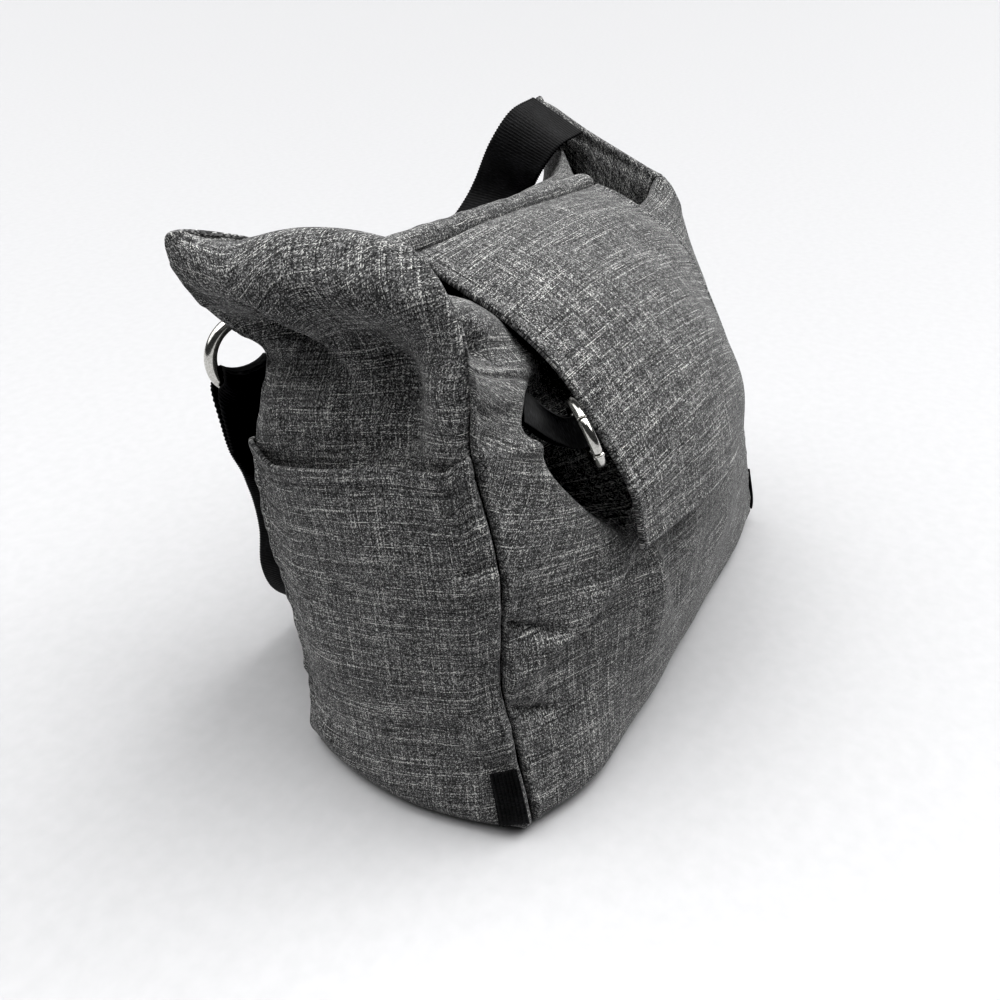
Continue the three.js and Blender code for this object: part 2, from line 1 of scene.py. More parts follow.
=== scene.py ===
"""A grey flap-over diaper bag that stands on a pale floor, built over the nodes of its CAD part.

The walls, pockets and flap are smooth sheets worked out from the same level tables as the CAD solids,
with the folds, seam puckers and weave of the real cloth. The webbing has woven ribs and the rings are
round steel. Lengths in the tables are millimetres, with the middle of the base as zero. On a cloth
surface, s runs from -1 to 1 across it and v counts the levels of its table.
"""
import math
from functools import partial

import bpy
import numpy as np
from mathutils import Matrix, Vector


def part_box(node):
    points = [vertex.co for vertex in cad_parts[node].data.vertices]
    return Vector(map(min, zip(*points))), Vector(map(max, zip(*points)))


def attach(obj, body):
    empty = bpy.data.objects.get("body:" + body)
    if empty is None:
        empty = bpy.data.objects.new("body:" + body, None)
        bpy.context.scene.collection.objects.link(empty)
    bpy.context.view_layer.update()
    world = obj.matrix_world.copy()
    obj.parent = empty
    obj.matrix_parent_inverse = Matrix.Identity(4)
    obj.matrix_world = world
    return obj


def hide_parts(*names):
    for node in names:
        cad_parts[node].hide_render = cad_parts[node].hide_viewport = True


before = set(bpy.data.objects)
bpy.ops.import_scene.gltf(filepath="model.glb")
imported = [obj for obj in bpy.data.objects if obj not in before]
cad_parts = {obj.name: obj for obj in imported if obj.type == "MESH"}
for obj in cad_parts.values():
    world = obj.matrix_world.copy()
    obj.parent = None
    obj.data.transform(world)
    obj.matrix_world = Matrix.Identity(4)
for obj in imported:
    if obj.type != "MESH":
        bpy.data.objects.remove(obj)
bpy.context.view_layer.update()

bl_info = {
    "name": "Diaper bag",
    "version": (1, 0, 0),
    "blender": (4, 5, 0),
    "location": "3D View > Sidebar > Bag",
    "description": "Builds a cloth diaper bag with a flap, pockets, a webbing strap and steel rings",
    "category": "Object",
}

MM = 0.001
PER_METRE = 1000
BASE_LOW, BASE_HIGH = (np.array(corner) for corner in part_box("base_panel"))
ZERO = np.array([(BASE_LOW[0] + BASE_HIGH[0]) / 2, (BASE_LOW[1] + BASE_HIGH[1]) / 2, 0.0])
UP = np.array([0.0, 0.0, 1.0])


def unit(v):
    return v / np.linalg.norm(v, axis=-1, keepdims=True)


# Levels of an end wall from the base rim to the mouth: front seam x y z, rear seam x y z, swell out and up.
LEFT_END = np.array([
    (-176, -62, 0, -176, 62, 0, 17, 0),
    (-199, -85, 9, -199, 80, 7, 21, 0),
    (-199, -76, 50, -198, 81, 45, 17, 0),
    (-199, -64, 105, -197, 89, 104, 12, 0),
    (-199, -63, 180, -197, 101, 155, 7, 0),
    (-199, -47, 243, -196, 104, 207, 0, 0),
    (-198, -46, 272, -173, 110, 256, 0, 0),
    (-196, -43, 298, -195, 115, 281, -8, 0),
    (-193, -36, 317, -217, 117, 308, 4, 3),
    (-187, -22, 331, -225, 118, 334, 3, 7),
    (-176, 0, 339, -210, 108.5, 340, -2, 7),
    (-146, 14, 322, -150, 60, 318, 0, 0),
], float)
RIGHT_END = np.array([
    (176, -62, 0, 176, 62, 0, 17, 0),
    (199, -85, 9, 199, 80, 7, 21, 0),
    (201, -79, 50, 199, 81, 45, 17, 0),
    (201, -66, 100, 198, 89, 104, 12, 0),
    (200, -42, 160, 197, 101, 155, 7, 0),
    (198, -22, 204, 195, 104, 207, 0, 0),
    (195, -8, 230, 178, 110, 242, -12, 0),
    (192, -1, 252, 190, 118, 283, -4, 0),
    (191, 1, 272, 194, 126, 314, 3, 0),
    (187, 7, 289, 188, 131, 340, 2, 0),
    (175, 18, 297, 172, 118, 344, 0, 0),
    (167, 24, 266, 166, 106, 304, 0, 0),
], float)
# The same levels at the middle of the long walls: front y z and how squarely it turns, then the back's.
MIDDLE = np.array([
    (-84, 0, 3, 84, 0, 3),
    (-103, 9, 2.6, 106, 8, 2.6),
    (-110, 45, 2.6, 113, 45, 2.6),
    (-111, 100, 2.6, 118, 102, 2.6),
    (-103, 158, 2.6, 120, 152, 2.6),
    (-84, 200, 3, 119, 196, 2.8),
    (-62, 229, 4, 116, 230, 3),
    (-40, 253, 4.4, 108, 258, 3.2),
    (-16, 271, 5.4, 96, 281, 3.4),
    (2, 280, 6.4, 82, 297, 5),
    (13, 283, 8, 68, 304.6, 6.5),
    (18, 276, 9, 59, 299, 7.5),
], float)
# Soft folds of a wall: where they lie, half width and half height on it, and the push in x, y and z.
FOLDS = (
    ("left", 0.6, 7.1, 0.33, 0.4, 14, 0, 0),
    ("left", -0.36, 6.0, 0.25, 0.85, 11, 0, 0),
    ("left", 0.45, 5.65, 0.4, 0.5, -7, 0, 0),
    ("left", 0.86, 5.4, 0.22, 0.35, -9, 0, 0),
    ("left", 0.63, 9.9, 0.42, 1.8, 0, 0, -10),
    ("left", -0.1, 8.9, 0.6, 0.75, -5, 0, -8),
    ("front", -0.75, 8.3, 0.17, 0.9, 0, -8, 12),
    ("front", -0.8, 9.6, 0.2, 0.9, 0, -2, 12),
    ("front", -0.74, 0.9, 0.24, 0.9, 0, -8, 0),
    ("front", 0.35, 1.6, 0.5, 1.6, 0, 7, 0),
    ("front", -0.8, 5.3, 0.2, 0.3, 0, 5, 0),
    ("front", -0.42, 3.4, 0.07, 0.9, 0, -5, 0),
    ("front", 0.6, 4.6, 0.24, 1.4, 0, 14, 0),
    ("right", 0.2, 6.2, 0.35, 0.7, -7, 0, 0),
    ("back", -0.92, 10.2, 0.15, 1.8, 0, 0, -38),
    ("back", 0.72, 8.4, 0.17, 1.3, 0, -11, -4),
    ("back", 0.86, 9.9, 0.16, 0.9, 0, -1, -5),
)
# Creases: half width, lift and step to one side in mm, then the path's points as s and v on the surface.
CREASES = {
    "left": (
        (20, 0, -8.0, (0.62, 8.15), (0.48, 8.15), (0.36, 8.0), (0.31, 7.65), (0.31, 7.25), (0.28, 6.8),
         (0.13, 6.35)),
        (4, 1.5, 0, (0.7, 6.3), (0.45, 6.25), (0.2, 6.25)),
        (12, -5.0, 0, (-0.2, 7.3), (-0.3, 6.5), (-0.38, 5.9), (-0.44, 5.35), (-0.3, 5.05)),
        (14, 3.0, 0, (0.85, 5.8), (0.5, 5.75), (0.1, 5.6)),
        (16, 4.0, 0, (-0.74, 7.0), (-0.74, 5.3)),
        (7, -4.0, 0, (0.25, 5.2), (-0.2, 5.12), (-0.55, 5.2)),
    ),
    "left_pocket": (
        (3, -3.2, 0, (-1.0, 4.1), (-0.72, 4.05)),
        (5, -1.4, 0.6, (-1.0, 3.05), (-0.7, 3.2), (-0.5, 3.15)),
        (9, 3.5, 1.0, (-1.0, 2.5), (-0.7, 2.3)),
        (4, -2.5, 0, (-1.0, 2.05), (-0.75, 2.0)),
        (6, 2.0, 0, (0.95, 1.5), (0.6, 1.4)),
        (14, -1.2, 0, (0.7, 3.9), (-0.2, 3.5)),
        (14, 1.2, 0, (0.6, 2.6), (-0.4, 2.9)),
    ),
    "front": (
        (1.8, -2.4, 0, (-1.0, 6.8), (-0.94, 6.95), (-0.85, 7.05), (-0.74, 7.1), (-0.58, 6.95)),
        (7, -9.0, -5.0, (-0.9, 8.5), (-0.87, 8.1), (-0.85, 7.75), (-0.82, 7.5)),
        (8, -4.0, 0, (-1.0, 7.0), (-0.85, 7.6), (-0.62, 7.75)),
        (16, 1.5, -3.0, (-1.0, 5.15), (-0.9, 5.5), (-0.78, 5.75), (-0.7, 5.7)),
        (9, -4.5, 0, (-0.98, 5.6), (-0.8, 6.1), (-0.66, 6.0)),
        (4, -3.0, 0, (-1.0, 6.0), (-0.8, 6.38)),
        (50, -32.0, -32.0, (-0.57, 7.0), (-0.63, 6.7), (-0.7, 6.3), (-0.71, 5.75), (-0.69, 5.1),
         (-0.59, 4.45), (-0.51, 4.0)),
        (4.5, -5.0, 1.5, (-1.0, 3.6), (-0.82, 3.4)),
        (14, 4.5, 0, (-1.0, 3.1), (-0.86, 3.0)),
        (4.5, -5.0, 1.5, (-1.0, 2.75), (-0.85, 2.52)),
        (22, 2.0, 5.0, (-0.94, 3.05), (-0.75, 3.35), (-0.52, 3.78)),
        (28, 0, -3.5, (-0.4, 3.75), (-0.33, 3.1), (-0.24, 2.53)),
        (12, 1.6, 0, (-0.1, 2.4), (0.3, 2.9)),
        (9, -2.0, 0, (0.35, 3.9), (0.55, 3.0), (0.65, 2.2)),
    ),
    "back": (
        (14, -2, 0, (-0.7, 3.0), (-0.4, 3.8), (-0.2, 4.2)),
        (14, 2, 0, (0.2, 2.2), (0.6, 3.6)),
        (12, -2, 0, (-0.5, 6.0), (0.0, 5.6), (0.4, 5.6)),
    ),
    "right": (
        (7, -2, 0, (0.8, 6.3), (0.1, 6.0), (-0.6, 6.0)),
        (3, -2.4, 0, (0.95, 10.35), (-0.95, 10.15)),
        (10, -2, 0, (0.4, 8.0), (0.1, 6.6)),
    ),
    "right_pocket": (
        (14, -1.2, 0, (0.6, 3.6), (-0.5, 3.2)),
    ),
    "flap": (
        (18, -0.8, 0, (-0.9, 2.6), (0.6, 2.3)),
        (22, 0.9, 0, (-0.6, 4.6), (0.8, 4.9)),
    ),
}
# The flap from the roll to its hem: y and z at its left edge, middle and right edge.
FLAP = np.array([
    (41.1, 314, 41.8, 310, 41.8, 301.5),
    (21, 305, 22, 311, 22, 296),
    (-4, 295, -4, 305, -4, 284),
    (-30, 282, -34, 292, -31, 266),
    (-56, 262, -64, 270, -51, 237),
    (-80, 233, -90, 241, -71, 200),
    (-102, 201, -109, 205, -87, 168),
    (-111, 167, -119, 160, -92, 129),
], float)
FLAP_HALF = 120.0
# The shoulder strap behind the bag, from below its ring to the right ear: centre x y z, width direction.
STRAP = np.array([
    (-146, 134.5, 165, -0.85, 0.52, 0),
    (-140, 136, 138, -0.55, 0.83, 0),
    (-140, 138, 108, -0.25, 0.97, 0),
    (-146, 139, 78, -0.08, 1, 0),
    (-139, 140, 52, 0, 1, 0),
    (-118, 142, 34, 0, 1, 0),
    (-90, 145, 38, 0, 1, 0),
    (-50, 149, 80, 0, 1, 0),
    (0, 151, 142, 0, 1, 0),
    (46, 151, 196, 0, 1, 0),
    (92, 147, 240, 0, 1, 0),
    (122, 137, 268, 0, 1, 0.05),
    (131, 130, 284, 0, 0.98, 0.15),
    (130, 116.5, 310, 0, 0.95, 0.3),
    (142, 106, 330, 0, 0.91, 0.42),
    (165, 98.5, 337, 0, 0.9, 0.44),
], float)
STRAP_HALF = 25.0
# The strap ring, and the strap and hanger that turn round its wire: angles round the ring and lengths.
RING_AT = np.array([-165.0, 132.0, 251.0])
RING_AXIS = unit(np.array([0.34, 0.94, 0.0]))
RING_SIDE = np.array([-RING_AXIS[1], RING_AXIS[0], 0.0])
WRAP = 1.05
WRAP_RADIUS = 6.2
STRAP_FALL = np.array([0.2, 0.02, -0.98])
STRAP_TURN = math.radians(180)
STRAP_SLACK = 15.0
LOOP_LENGTH = 40.0
LOOP_SEWN = 1.7
HANGER_TURN = math.radians(20)
HANGER_WRAP = 0.58
HANGER_UNDER = ((113.2, 281), (119, 279))
HANGER_OVER = ((135, 285), (122, 290), (108.6, 291))
# The snap ring, its gate's two ends in degrees from its top, and the end of its tape.
SNAP_AT = np.array([-142.0, -80.5, 243.8])
SNAP_AXIS = unit(np.array([0.652, -0.661, 0.376]))
SNAP_TOP = unit(np.array([0.034, 0.519, 0.854]))
SNAP_SIDE = np.cross(SNAP_AXIS, SNAP_TOP)
GATE_FREE = 58.0
GATE_HINGE = 122.0
TAPE_END = np.array([-141.9, -41.3, 249.0])
TAPE_EDGE = np.array([0.784, 0.51, 0.353])
# The top roll's two ends, as x and z, and its y.
ROLL_LEFT = (-139.0, 315.5)
ROLL_RIGHT = (125.0, 299.5)
ROLL_Y = 51.0
# The two ends and the sign of x on each.
SIDES = {"left": -1, "right": 1}
# How folds and swells end at the seams, and how closely rows and columns lie.
FOLD_HOLD = 12
SWELL_TURN = 2.3
FINE = 2000
CROWD = 0.4
EDGE_GAIN = 4
EDGE_SHARE = 0.015
NECK_LEVEL = 6.8
NECK_GAIN = 60
# The pockets' rim and foot, as levels of the end walls, and how far under the rim the stitches lie.
RIM_LEVEL = 5.0
POCKET_FOOT = 0.25
HEM_DOWN = 10
# How a crease's path is followed, how it fades at its ends and how sharp its step is.
CREASE_STEPS = 48
CREASE_PAST = 26
CREASE_RISE = 0.3
CREASE_RATE = 2.5
CREASE_EDGE = 7
# Cloth beside a seam, in mm: its waves and puckers, the raised edge, the groove and the drawn-in strip.
WAVE_LENGTH = 80
WAVE_FADE = 20
PUCKER_LENGTH = 15
PUCKER_APART = 40
PUCKER_AT = 4
PUCKER_REACH = 9
SEAM_HOLD = 5
EDGE_RISE = 0.8
EDGE_AT = 4
EDGE_REACH = 3
GROOVE_REACH = 1.3
DRAWN_REACH = 14
# The levels over which the groove ends at the ears.
EAR_LEVEL = 8
EAR_FADE = 1.5
# Shares of a sheet's length and width over which its threads are evened.
EVEN_ALONG = 0.07
EVEN_ACROSS = 0.1
# Soft suns: the direction each stands in and how many degrees wide it is.
LAMPS = {
    "key": ((0.42, -0.4, 0.81), 55),
    "top": ((-0.16, 0.06, 0.98), 60),
    "fill": ((-0.25, 0.6, 0.76), 70),
}
# The floor's half width, and the camera: its sensor, place, heading and pitch.
FLOOR_REACH = 6000.0
SENSOR = 36.0
CAMERA_AT = np.array([-564.7, -276.8, 485.0])
CAMERA_HEADING = np.array([0.8628, 0.5057])
CAMERA_PITCH = math.radians(31.3)


def linear(code):
    """Linear colour from an sRGB hex code."""
    parts = [int(code[i:i + 2], 16) / 255 for i in (1, 3, 5)]
    values = [c / 12.92 if c <= 0.04045 else ((c + 0.055) / 1.055) ** 2.4 for c in parts]
    return (*values, 1.0)


def measure(name, description, default, **limits):
    """A size, strength or tone that a user would change."""
    return bpy.props.FloatProperty(name=name, description=description, default=default, **limits)


def tint(name, description, code):
    """A colour that a user would change, given as its sRGB hex code."""
    return bpy.props.FloatVectorProperty(
        name=name, description=description, default=linear(code), size=4, subtype="COLOR", min=0, max=1)


class BagSizes(bpy.types.PropertyGroup):
    """Sizes of the bag's cloth, webbing and rings, in millimetres."""

    wall: measure("Wall", "Thickness of the walls", 2.4, min=1)
    pocket: measure("Pocket", "Thickness of the pockets", 1.8, min=1)
    pocket_open: measure("Pocket opening", "How far the rim stands out", 10)
    flap: measure("Flap", "Thickness of the flap", 4.6, min=1)
    seam: measure("Seam", "Depth that a seam draws in", 4.4)
    pucker: measure("Pucker", "Height of the puckers at a seam", 0.45)
    wrinkle: measure("Wrinkle", "Height of the gentle waves", 0.5)
    roll: measure("Roll", "Radius of the top roll", 8.5)
    webbing: measure("Webbing", "Thickness of the webbing", 2.2)
    tape: measure("Tape", "Thickness of the snap ring's tape", 1.6)
    tab: measure("Tab", "Thickness of the corner tabs", 2.4)
    rib: measure("Rib pitch", "Pitch of the webbing's ribs", 2.2)
    strap_ring: measure("Strap ring", "Radius of the strap ring", 22.4)
    strap_wire: measure("Strap wire", "Wire radius of the strap ring", 3.8)
    snap_ring: measure("Snap ring", "Radius of the snap ring", 17.7)
    snap_wire: measure("Snap wire", "Wire radius of the snap ring", 2.8)


class BagColours(bpy.types.PropertyGroup):
    """Colours of the yarns, the nickel plate, the floor and the light all round."""

    cloth_deep: tint("Cloth, deep", "Darkest yarns of the cloth", "#101011")
    cloth: tint("Cloth", "Ground yarns of the cloth", "#4d4d4d")
    cloth_light: tint("Cloth, light", "Light yarns of the cloth", "#808080")
    cloth_slub: tint("Cloth, slub", "Lightest slubs of the cloth", "#c4c4c1")
    # The darkest webbing colour is painted shade for the hollows of the weave.
    webbing_hollow_shade: tint("Webbing, deep", "Hollows of the webbing", "#060607")
    webbing: tint("Webbing", "Yarns of the webbing", "#121213")
    webbing_dust: tint("Webbing, dust", "Dusty yarns of the webbing", "#242426")
    plate_worn: tint("Plate, worn", "Nickel plate where it is rubbed", "#b9b8b4")
    plate: tint("Plate", "Nickel plate", "#dcdbd7")
    floor_deep: tint("Floor, deep", "Darker spots of the floor", "#aeaeaf")
    floor: tint("Floor", "Paint of the floor", "#b1b1b2")
    sky: tint("Sky", "Light all round", "#f4f5f7")


class BagStage(bpy.types.PropertyGroup):
    """Lamps, tone and camera."""

    key: measure("Key", "Strength of the light from the right", 3.7)
    top: measure("Top", "Strength of the light from above", 2.6)
    fill: measure("Fill", "Strength of the light from behind", 1.8)
    world: measure("World", "Strength of the light all round", 0.1)
    gamma: measure("Gamma", "Steepness of the picture's tones", 0.77)
    black: measure("Black", "Light that shows as black", 0.009)
    lens: measure("Lens", "Focal length", 36.0, unit="CAMERA")


def bell(x):
    return np.exp(-x * x)


def ridge(distance, at, reach, height):
    """Height of a bell-shaped ridge that stands at a distance from an edge."""
    return height * bell((distance - at) / reach)


def smooth(x):
    """0 to 1 with level ends: x * x * (3 - 2x) for x held between 0 and 1."""
    x = np.clip(x, 0, 1)
    return x * x * (3 - 2 * x)


def spline(table, at):
    """Catmull-Rom curve through the rows of a table, at row numbers with fractions."""
    last = len(table) - 1
    at = np.clip(np.asarray(at, float), 0, last)
    i = np.minimum(at.astype(int), last - 1)
    k = (at - i)[..., None]
    ends = (2 * table[:1] - table[1:2], table, 2 * table[-1:] - table[-2:-1])
    rows = np.concatenate(ends)
    a, b, c, d = rows[i], rows[i + 1], rows[i + 2], rows[i + 3]
    return b + 0.5 * k * (c - a + k * (2 * a - 5 * b + 4 * c - d + k * (3 * (b - c) + d - a)))


def folded(points, wall, s, v):
    """Points pushed by a wall's folds, each a bell about its place that is held to nothing at the seams."""
    for name, at_s, at_v, wide, high, *push in FOLDS:
        if name == wall:
            share = bell((s - at_s) / wide) * bell((v - at_v) / high) * (1 - np.abs(s) ** FOLD_HOLD)
            points = points + share[..., None] * np.array(push)
    return points


def end_point(side, s, v):
    """Point of an end wall: straight from front to rear seam, swollen by 1 - |s|^turn, then folded."""
    row = spline(LEFT_END if side < 0 else RIGHT_END, v)
    k = ((s + 1) / 2)[..., None]
    swell = 1 - np.abs(s) ** SWELL_TURN
    points = row[..., 0:3] * (1 - k) + row[..., 3:6] * k
    points = points + np.stack([side * row[..., 6] * swell, 0 * swell, row[..., 7] * swell], -1)
    return folded(points, "left" if side < 0 else "right", s, v)


def wall_point(face, s, v):
    """Point of a long wall: the middle's y and z blend into the corner seam's by |s|^turn."""
    left = spline(LEFT_END, v)
    right = spline(RIGHT_END, v)
    middle = spline(MIDDLE, v)
    c = 0 if face == "front" else 3
    k = np.abs(s) ** middle[..., c + 2]
    seam = np.where((s < 0)[..., None], left, right)
    x = left[..., c] + (right[..., c] - left[..., c]) * (s + 1) / 2
    y = middle[..., c] + (seam[..., c + 1] - middle[..., c]) * k
    z = middle[..., c + 1] + (seam[..., c + 2] - middle[..., c + 1]) * k
    return folded(np.stack([x, y, z], -1), face, s, v)


def face_point(face, s, v):
    """Point of an end wall or a long wall, by its name."""
    if face in SIDES:
        return end_point(SIDES[face], s, v)
    return wall_point(face, s, v)


def flap_point(s, v):
    """Point of the flap: a parabola across through its left edge, middle and right edge."""
    row = spline(FLAP, v)
    left = s * (s - 1) / 2
    middle = 1 - s * s
    right = s * (s + 1) / 2
    y = left * row[..., 0] + middle * row[..., 2] + right * row[..., 4]
    z = left * row[..., 1] + middle * row[..., 3] + right * row[..., 5]
    return np.stack([s * FLAP_HALF, y, z], -1)


def spaced(count, low=-1.0, high=1.0):
    """Values from low to high that lie closer together at both ends: (1 + crowd) u - crowd u^3."""
    u = np.linspace(-1, 1, count)
    return low + (high - low) * (1 + (1 + CROWD) * u - CROWD * u ** 3) / 2


def dense(count, low, high, middle, width, gain):
    """Values from low to high that lie closer together at both ends and, by a bell, about a middle."""
    fine = np.linspace(low, high, FINE)
    edge = np.minimum(fine - low, high - fine) / (high - low)
    about = gain * bell((fine - middle) / width)
    weight = np.cumsum(1 + about + EDGE_GAIN * bell(edge / EDGE_SHARE))
    return np.interp(np.linspace(weight[0], weight[-1], count), weight, fine)


def seam_levels(count):
    """Levels of a wall's rows: even by length up the front left seam, and closer at the ear's neck."""
    fine = np.linspace(0, len(LEFT_END) - 1, FINE)
    step = fine[1] - fine[0]
    seam = spline(LEFT_END, fine)[:, :3]
    rate = np.linalg.norm(np.gradient(seam, step, axis=0), axis=-1)
    weight = np.cumsum(rate + NECK_GAIN * bell(fine - NECK_LEVEL))
    return np.interp(np.linspace(weight[0], weight[-1], count), weight, fine)


def grid_of(point, s, v):
    at_v, at_s = np.meshgrid(v, s, indexing="ij")
    return point(at_s, at_v)


def normals_of(points, towards):
    """Unit cross products of the grid's two directions, and the sign that turns them outward."""
    across = np.gradient(points, axis=1)
    along = np.gradient(points, axis=0)
    normals = unit(np.cross(across, along))
    middle = normals[normals.shape[0] // 2, normals.shape[1] // 2]
    sign = 1 if middle @ np.asarray(towards, float) > 0 else -1
    return normals * sign, sign


def lengths_of(points):
    """Lengths along the grid: across from its middle column, and along from its first row."""
    steps = np.linalg.norm(np.diff(points, axis=1), axis=-1)
    across = np.pad(np.cumsum(steps, axis=1), ((0, 0), (1, 0)))
    across = across - across[:, across.shape[1] // 2][:, None]
    steps = np.linalg.norm(np.diff(points, axis=0), axis=-1)
    along = np.pad(np.cumsum(steps, axis=0), ((1, 0), (0, 0)))
    return across, along


def run_of(line):
    """Length along a line of points, from its first point to each."""
    return np.pad(np.cumsum(np.linalg.norm(np.diff(line, axis=0), axis=-1)), (1, 0))


def ripple(u, v, length, seed, waves=14):
    """Seeded gentle roughness of unit spread: cosine waves of about one length in many directions."""
    rng = np.random.default_rng(seed)
    turns = rng.uniform(0, math.pi, waves)
    sizes = length * rng.uniform(0.7, 1.4, waves)
    starts = rng.uniform(0, 2 * math.pi, waves)
    total = 0
    for turn, size, start in zip(turns, sizes, starts):
        total = total + np.cos(2 * math.pi * (u * math.cos(turn) + v * math.sin(turn)) / size + start)
    return total / math.sqrt(waves / 2)


def sampled(values, i, j):
    """Values of a grid between its points, at fractional rows i and columns j."""
    i0 = np.minimum(i.astype(int), values.shape[0] - 2)
    j0 = np.minimum(j.astype(int), values.shape[1] - 2)
    i = i - i0
    j = j - j0
    low = values[i0, j0] * (1 - j) + values[i0, j0 + 1] * j
    high = values[i0 + 1, j0] * (1 - j) + values[i0 + 1, j0 + 1] * j
    return low * (1 - i) + high * i


def creased(rows, s, v, across, along):
    """Push along the normal: a bell across a smooth path, stepped to one side and faded at its ends.

    A path that starts at a seam, where s is -1 or 1, doesn't fade there.
    """
    push = np.zeros_like(across)
    for wide, lift, step, *path in rows:
        at = spline(np.array(path, float), np.linspace(0, len(path) - 1, CREASE_STEPS))
        i = np.interp(at[:, 1], v, np.arange(len(v)))
        j = np.interp(at[:, 0], s, np.arange(len(s)))
        line = np.stack([sampled(across, i, j), sampled(along, i, j)], -1)
        run = unit(np.gradient(line, axis=0))
        x = across[..., None] - line[:, 0]
        y = along[..., None] - line[:, 1]
        near = (x * x + y * y).argmin(axis=-1)
        x = across - line[near, 0]
        y = along - line[near, 1]
        off = (y * run[near, 0] - x * run[near, 1]) / wide
        past = (x * run[near, 0] + y * run[near, 1]) / min(2 * wide, CREASE_PAST)
        k = near / (CREASE_STEPS - 1)
        begin = smooth(CREASE_RISE + CREASE_RATE * k) if abs(path[0][0]) < 1 else 1
        fade = bell(past) * begin * smooth(CREASE_RISE + CREASE_RATE * (1 - k))
        push = push + fade * bell(off) * (lift + step * np.tanh(CREASE_EDGE * off))
    return push


def mesh_object(name, points, quads, uv, caps=()):
    """An object of quads and end caps, smooth shaded, with its cloth lengths as the UV map weave."""
    loops = np.concatenate([quads.ravel()] + [np.asarray(cap) for cap in caps]).astype(np.int32)
    totals = np.concatenate([np.full(len(quads), 4)] + [np.array([len(cap)]) for cap in caps])
    starts = np.concatenate([[0], np.cumsum(totals)[:-1]]).astype(np.int32)
    mesh = bpy.data.meshes.new(name)
    mesh.vertices.add(len(points))
    mesh.vertices.foreach_set("co", (points * MM + ZERO).astype(np.float32).ravel())
    mesh.loops.add(len(loops))
    mesh.loops.foreach_set("vertex_index", loops)
    mesh.polygons.add(len(totals))
    mesh.polygons.foreach_set("loop_start", starts)
    mesh.update(calc_edges=True)
    layer = mesh.uv_layers.new(name="weave")
    layer.data.foreach_set("uv", (uv[loops] * MM).astype(np.float32).ravel())
    mesh.validate()
    mesh.shade_smooth()
    obj = bpy.data.objects.new(name, mesh)
    bpy.context.scene.collection.objects.link(obj)
    return obj


def quads_of(ids):
    return np.stack([ids[:-1, :-1], ids[:-1, 1:], ids[1:, 1:], ids[1:, :-1]], -1).reshape(-1, 4)


def sheet_object(name, middle, normals, sign, half, uv):
    """A closed sheet: a front and a back layer, half apart from the middle, that meet at the border."""
    rows, columns = half.shape
    front = np.arange(rows * columns).reshape(rows, columns)
    back = front.copy()
    inner = np.arange((rows - 2) * (columns - 2)).reshape(rows - 2, columns - 2)
    back[1:-1, 1:-1] = rows * columns + inner
    lift = normals * half[..., None]
    below = (middle - lift)[1:-1, 1:-1]
    points = np.concatenate([(middle + lift).reshape(-1, 3), below.reshape(-1, 3)])
    lengths = np.concatenate([uv.reshape(-1, 2), uv[1:-1, 1:-1].reshape(-1, 2)])
    top = quads_of(front)
    bottom = quads_of(back)
    if sign > 0:
        bottom = bottom[:, ::-1]
    else:
        top = top[:, ::-1]
    return mesh_object(name, points, np.concatenate([top, bottom]), lengths)


def border_distance(across, along):
    sides = np.minimum(across - across[:, :1], across[:, -1:] - across)
    ends = np.minimum(along - along[:1], along[-1:] - along)
    return sides, ends


def rounded(distance, radius):
    """Quarter-round rise from 0 at the border to 1 at the radius."""
    k = 1 - np.clip(distance / radius, 0, 1)
    return np.sqrt(np.clip(1 - k * k, 0, 1))


def cloth_surface(point, s, v, towards, rows, sizes, seed, seams=True):
    """A cloth surface with its creases and gentle waves and, at its seams, a groove and puckers.

    Returns its points, normals, the sign that turned them outward, and its lengths across and along.
    """
    points = grid_of(point, s, v)
    normals = normals_of(points, towards)[0]
    across, along = lengths_of(points)
    sides = border_distance(across, along)[0]
    push = creased(rows, s, v, across, along)
    push = push + sizes.wrinkle * ripple(across, along, WAVE_LENGTH, seed) * smooth(sides / WAVE_FADE)
    if seams:
        apart = PUCKER_APART * np.sign(across)
        waves = ripple(along, 0 * along + apart, PUCKER_LENGTH, seed + 2)
        push = push + sizes.pucker * waves * bell((sides - PUCKER_AT) / PUCKER_REACH)
        below = (1 - smooth((v - EAR_LEVEL) / EAR_FADE))[:, None]
        push = push * smooth(sides / SEAM_HOLD) + EDGE_RISE * below * bell((sides - EDGE_AT) / EDGE_REACH)
        side = np.broadcast_to(np.sign(s), across.shape)
        diagonal = [np.where(towards[i], float(towards[i]), side) for i in (0, 1)]
        inward = -unit(np.stack([*diagonal, 0 * side], -1))
        deep = normals * np.sum(inward * normals, axis=-1, keepdims=True)
        groove = deep * bell(sides / GROOVE_REACH)[..., None]
        drawn = (inward - deep) * (1 - smooth(sides / DRAWN_REACH))[..., None]
        points = points + (groove + drawn) * (sizes.seam * below)[..., None]
    points = points + normals * push[..., None]
    return points, *normals_of(points, towards), *lengths_of(points)


def evened(values, width, axis):
    """Values of a grid averaged along one axis by a bell, whose width is a share of that axis."""
    at = np.linspace(0, 1, values.shape[axis])
    near = bell((at[:, None] - at) / width)
    near = near / near.sum(axis=1, keepdims=True)
    return near @ values if axis == 0 else values @ near.T


def finish_piece(obj, material, slot, *nodes, body="bag"):
    obj.data.materials.append(material)
    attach(obj, body)
    if nodes:
        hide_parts(*nodes)
    return obj


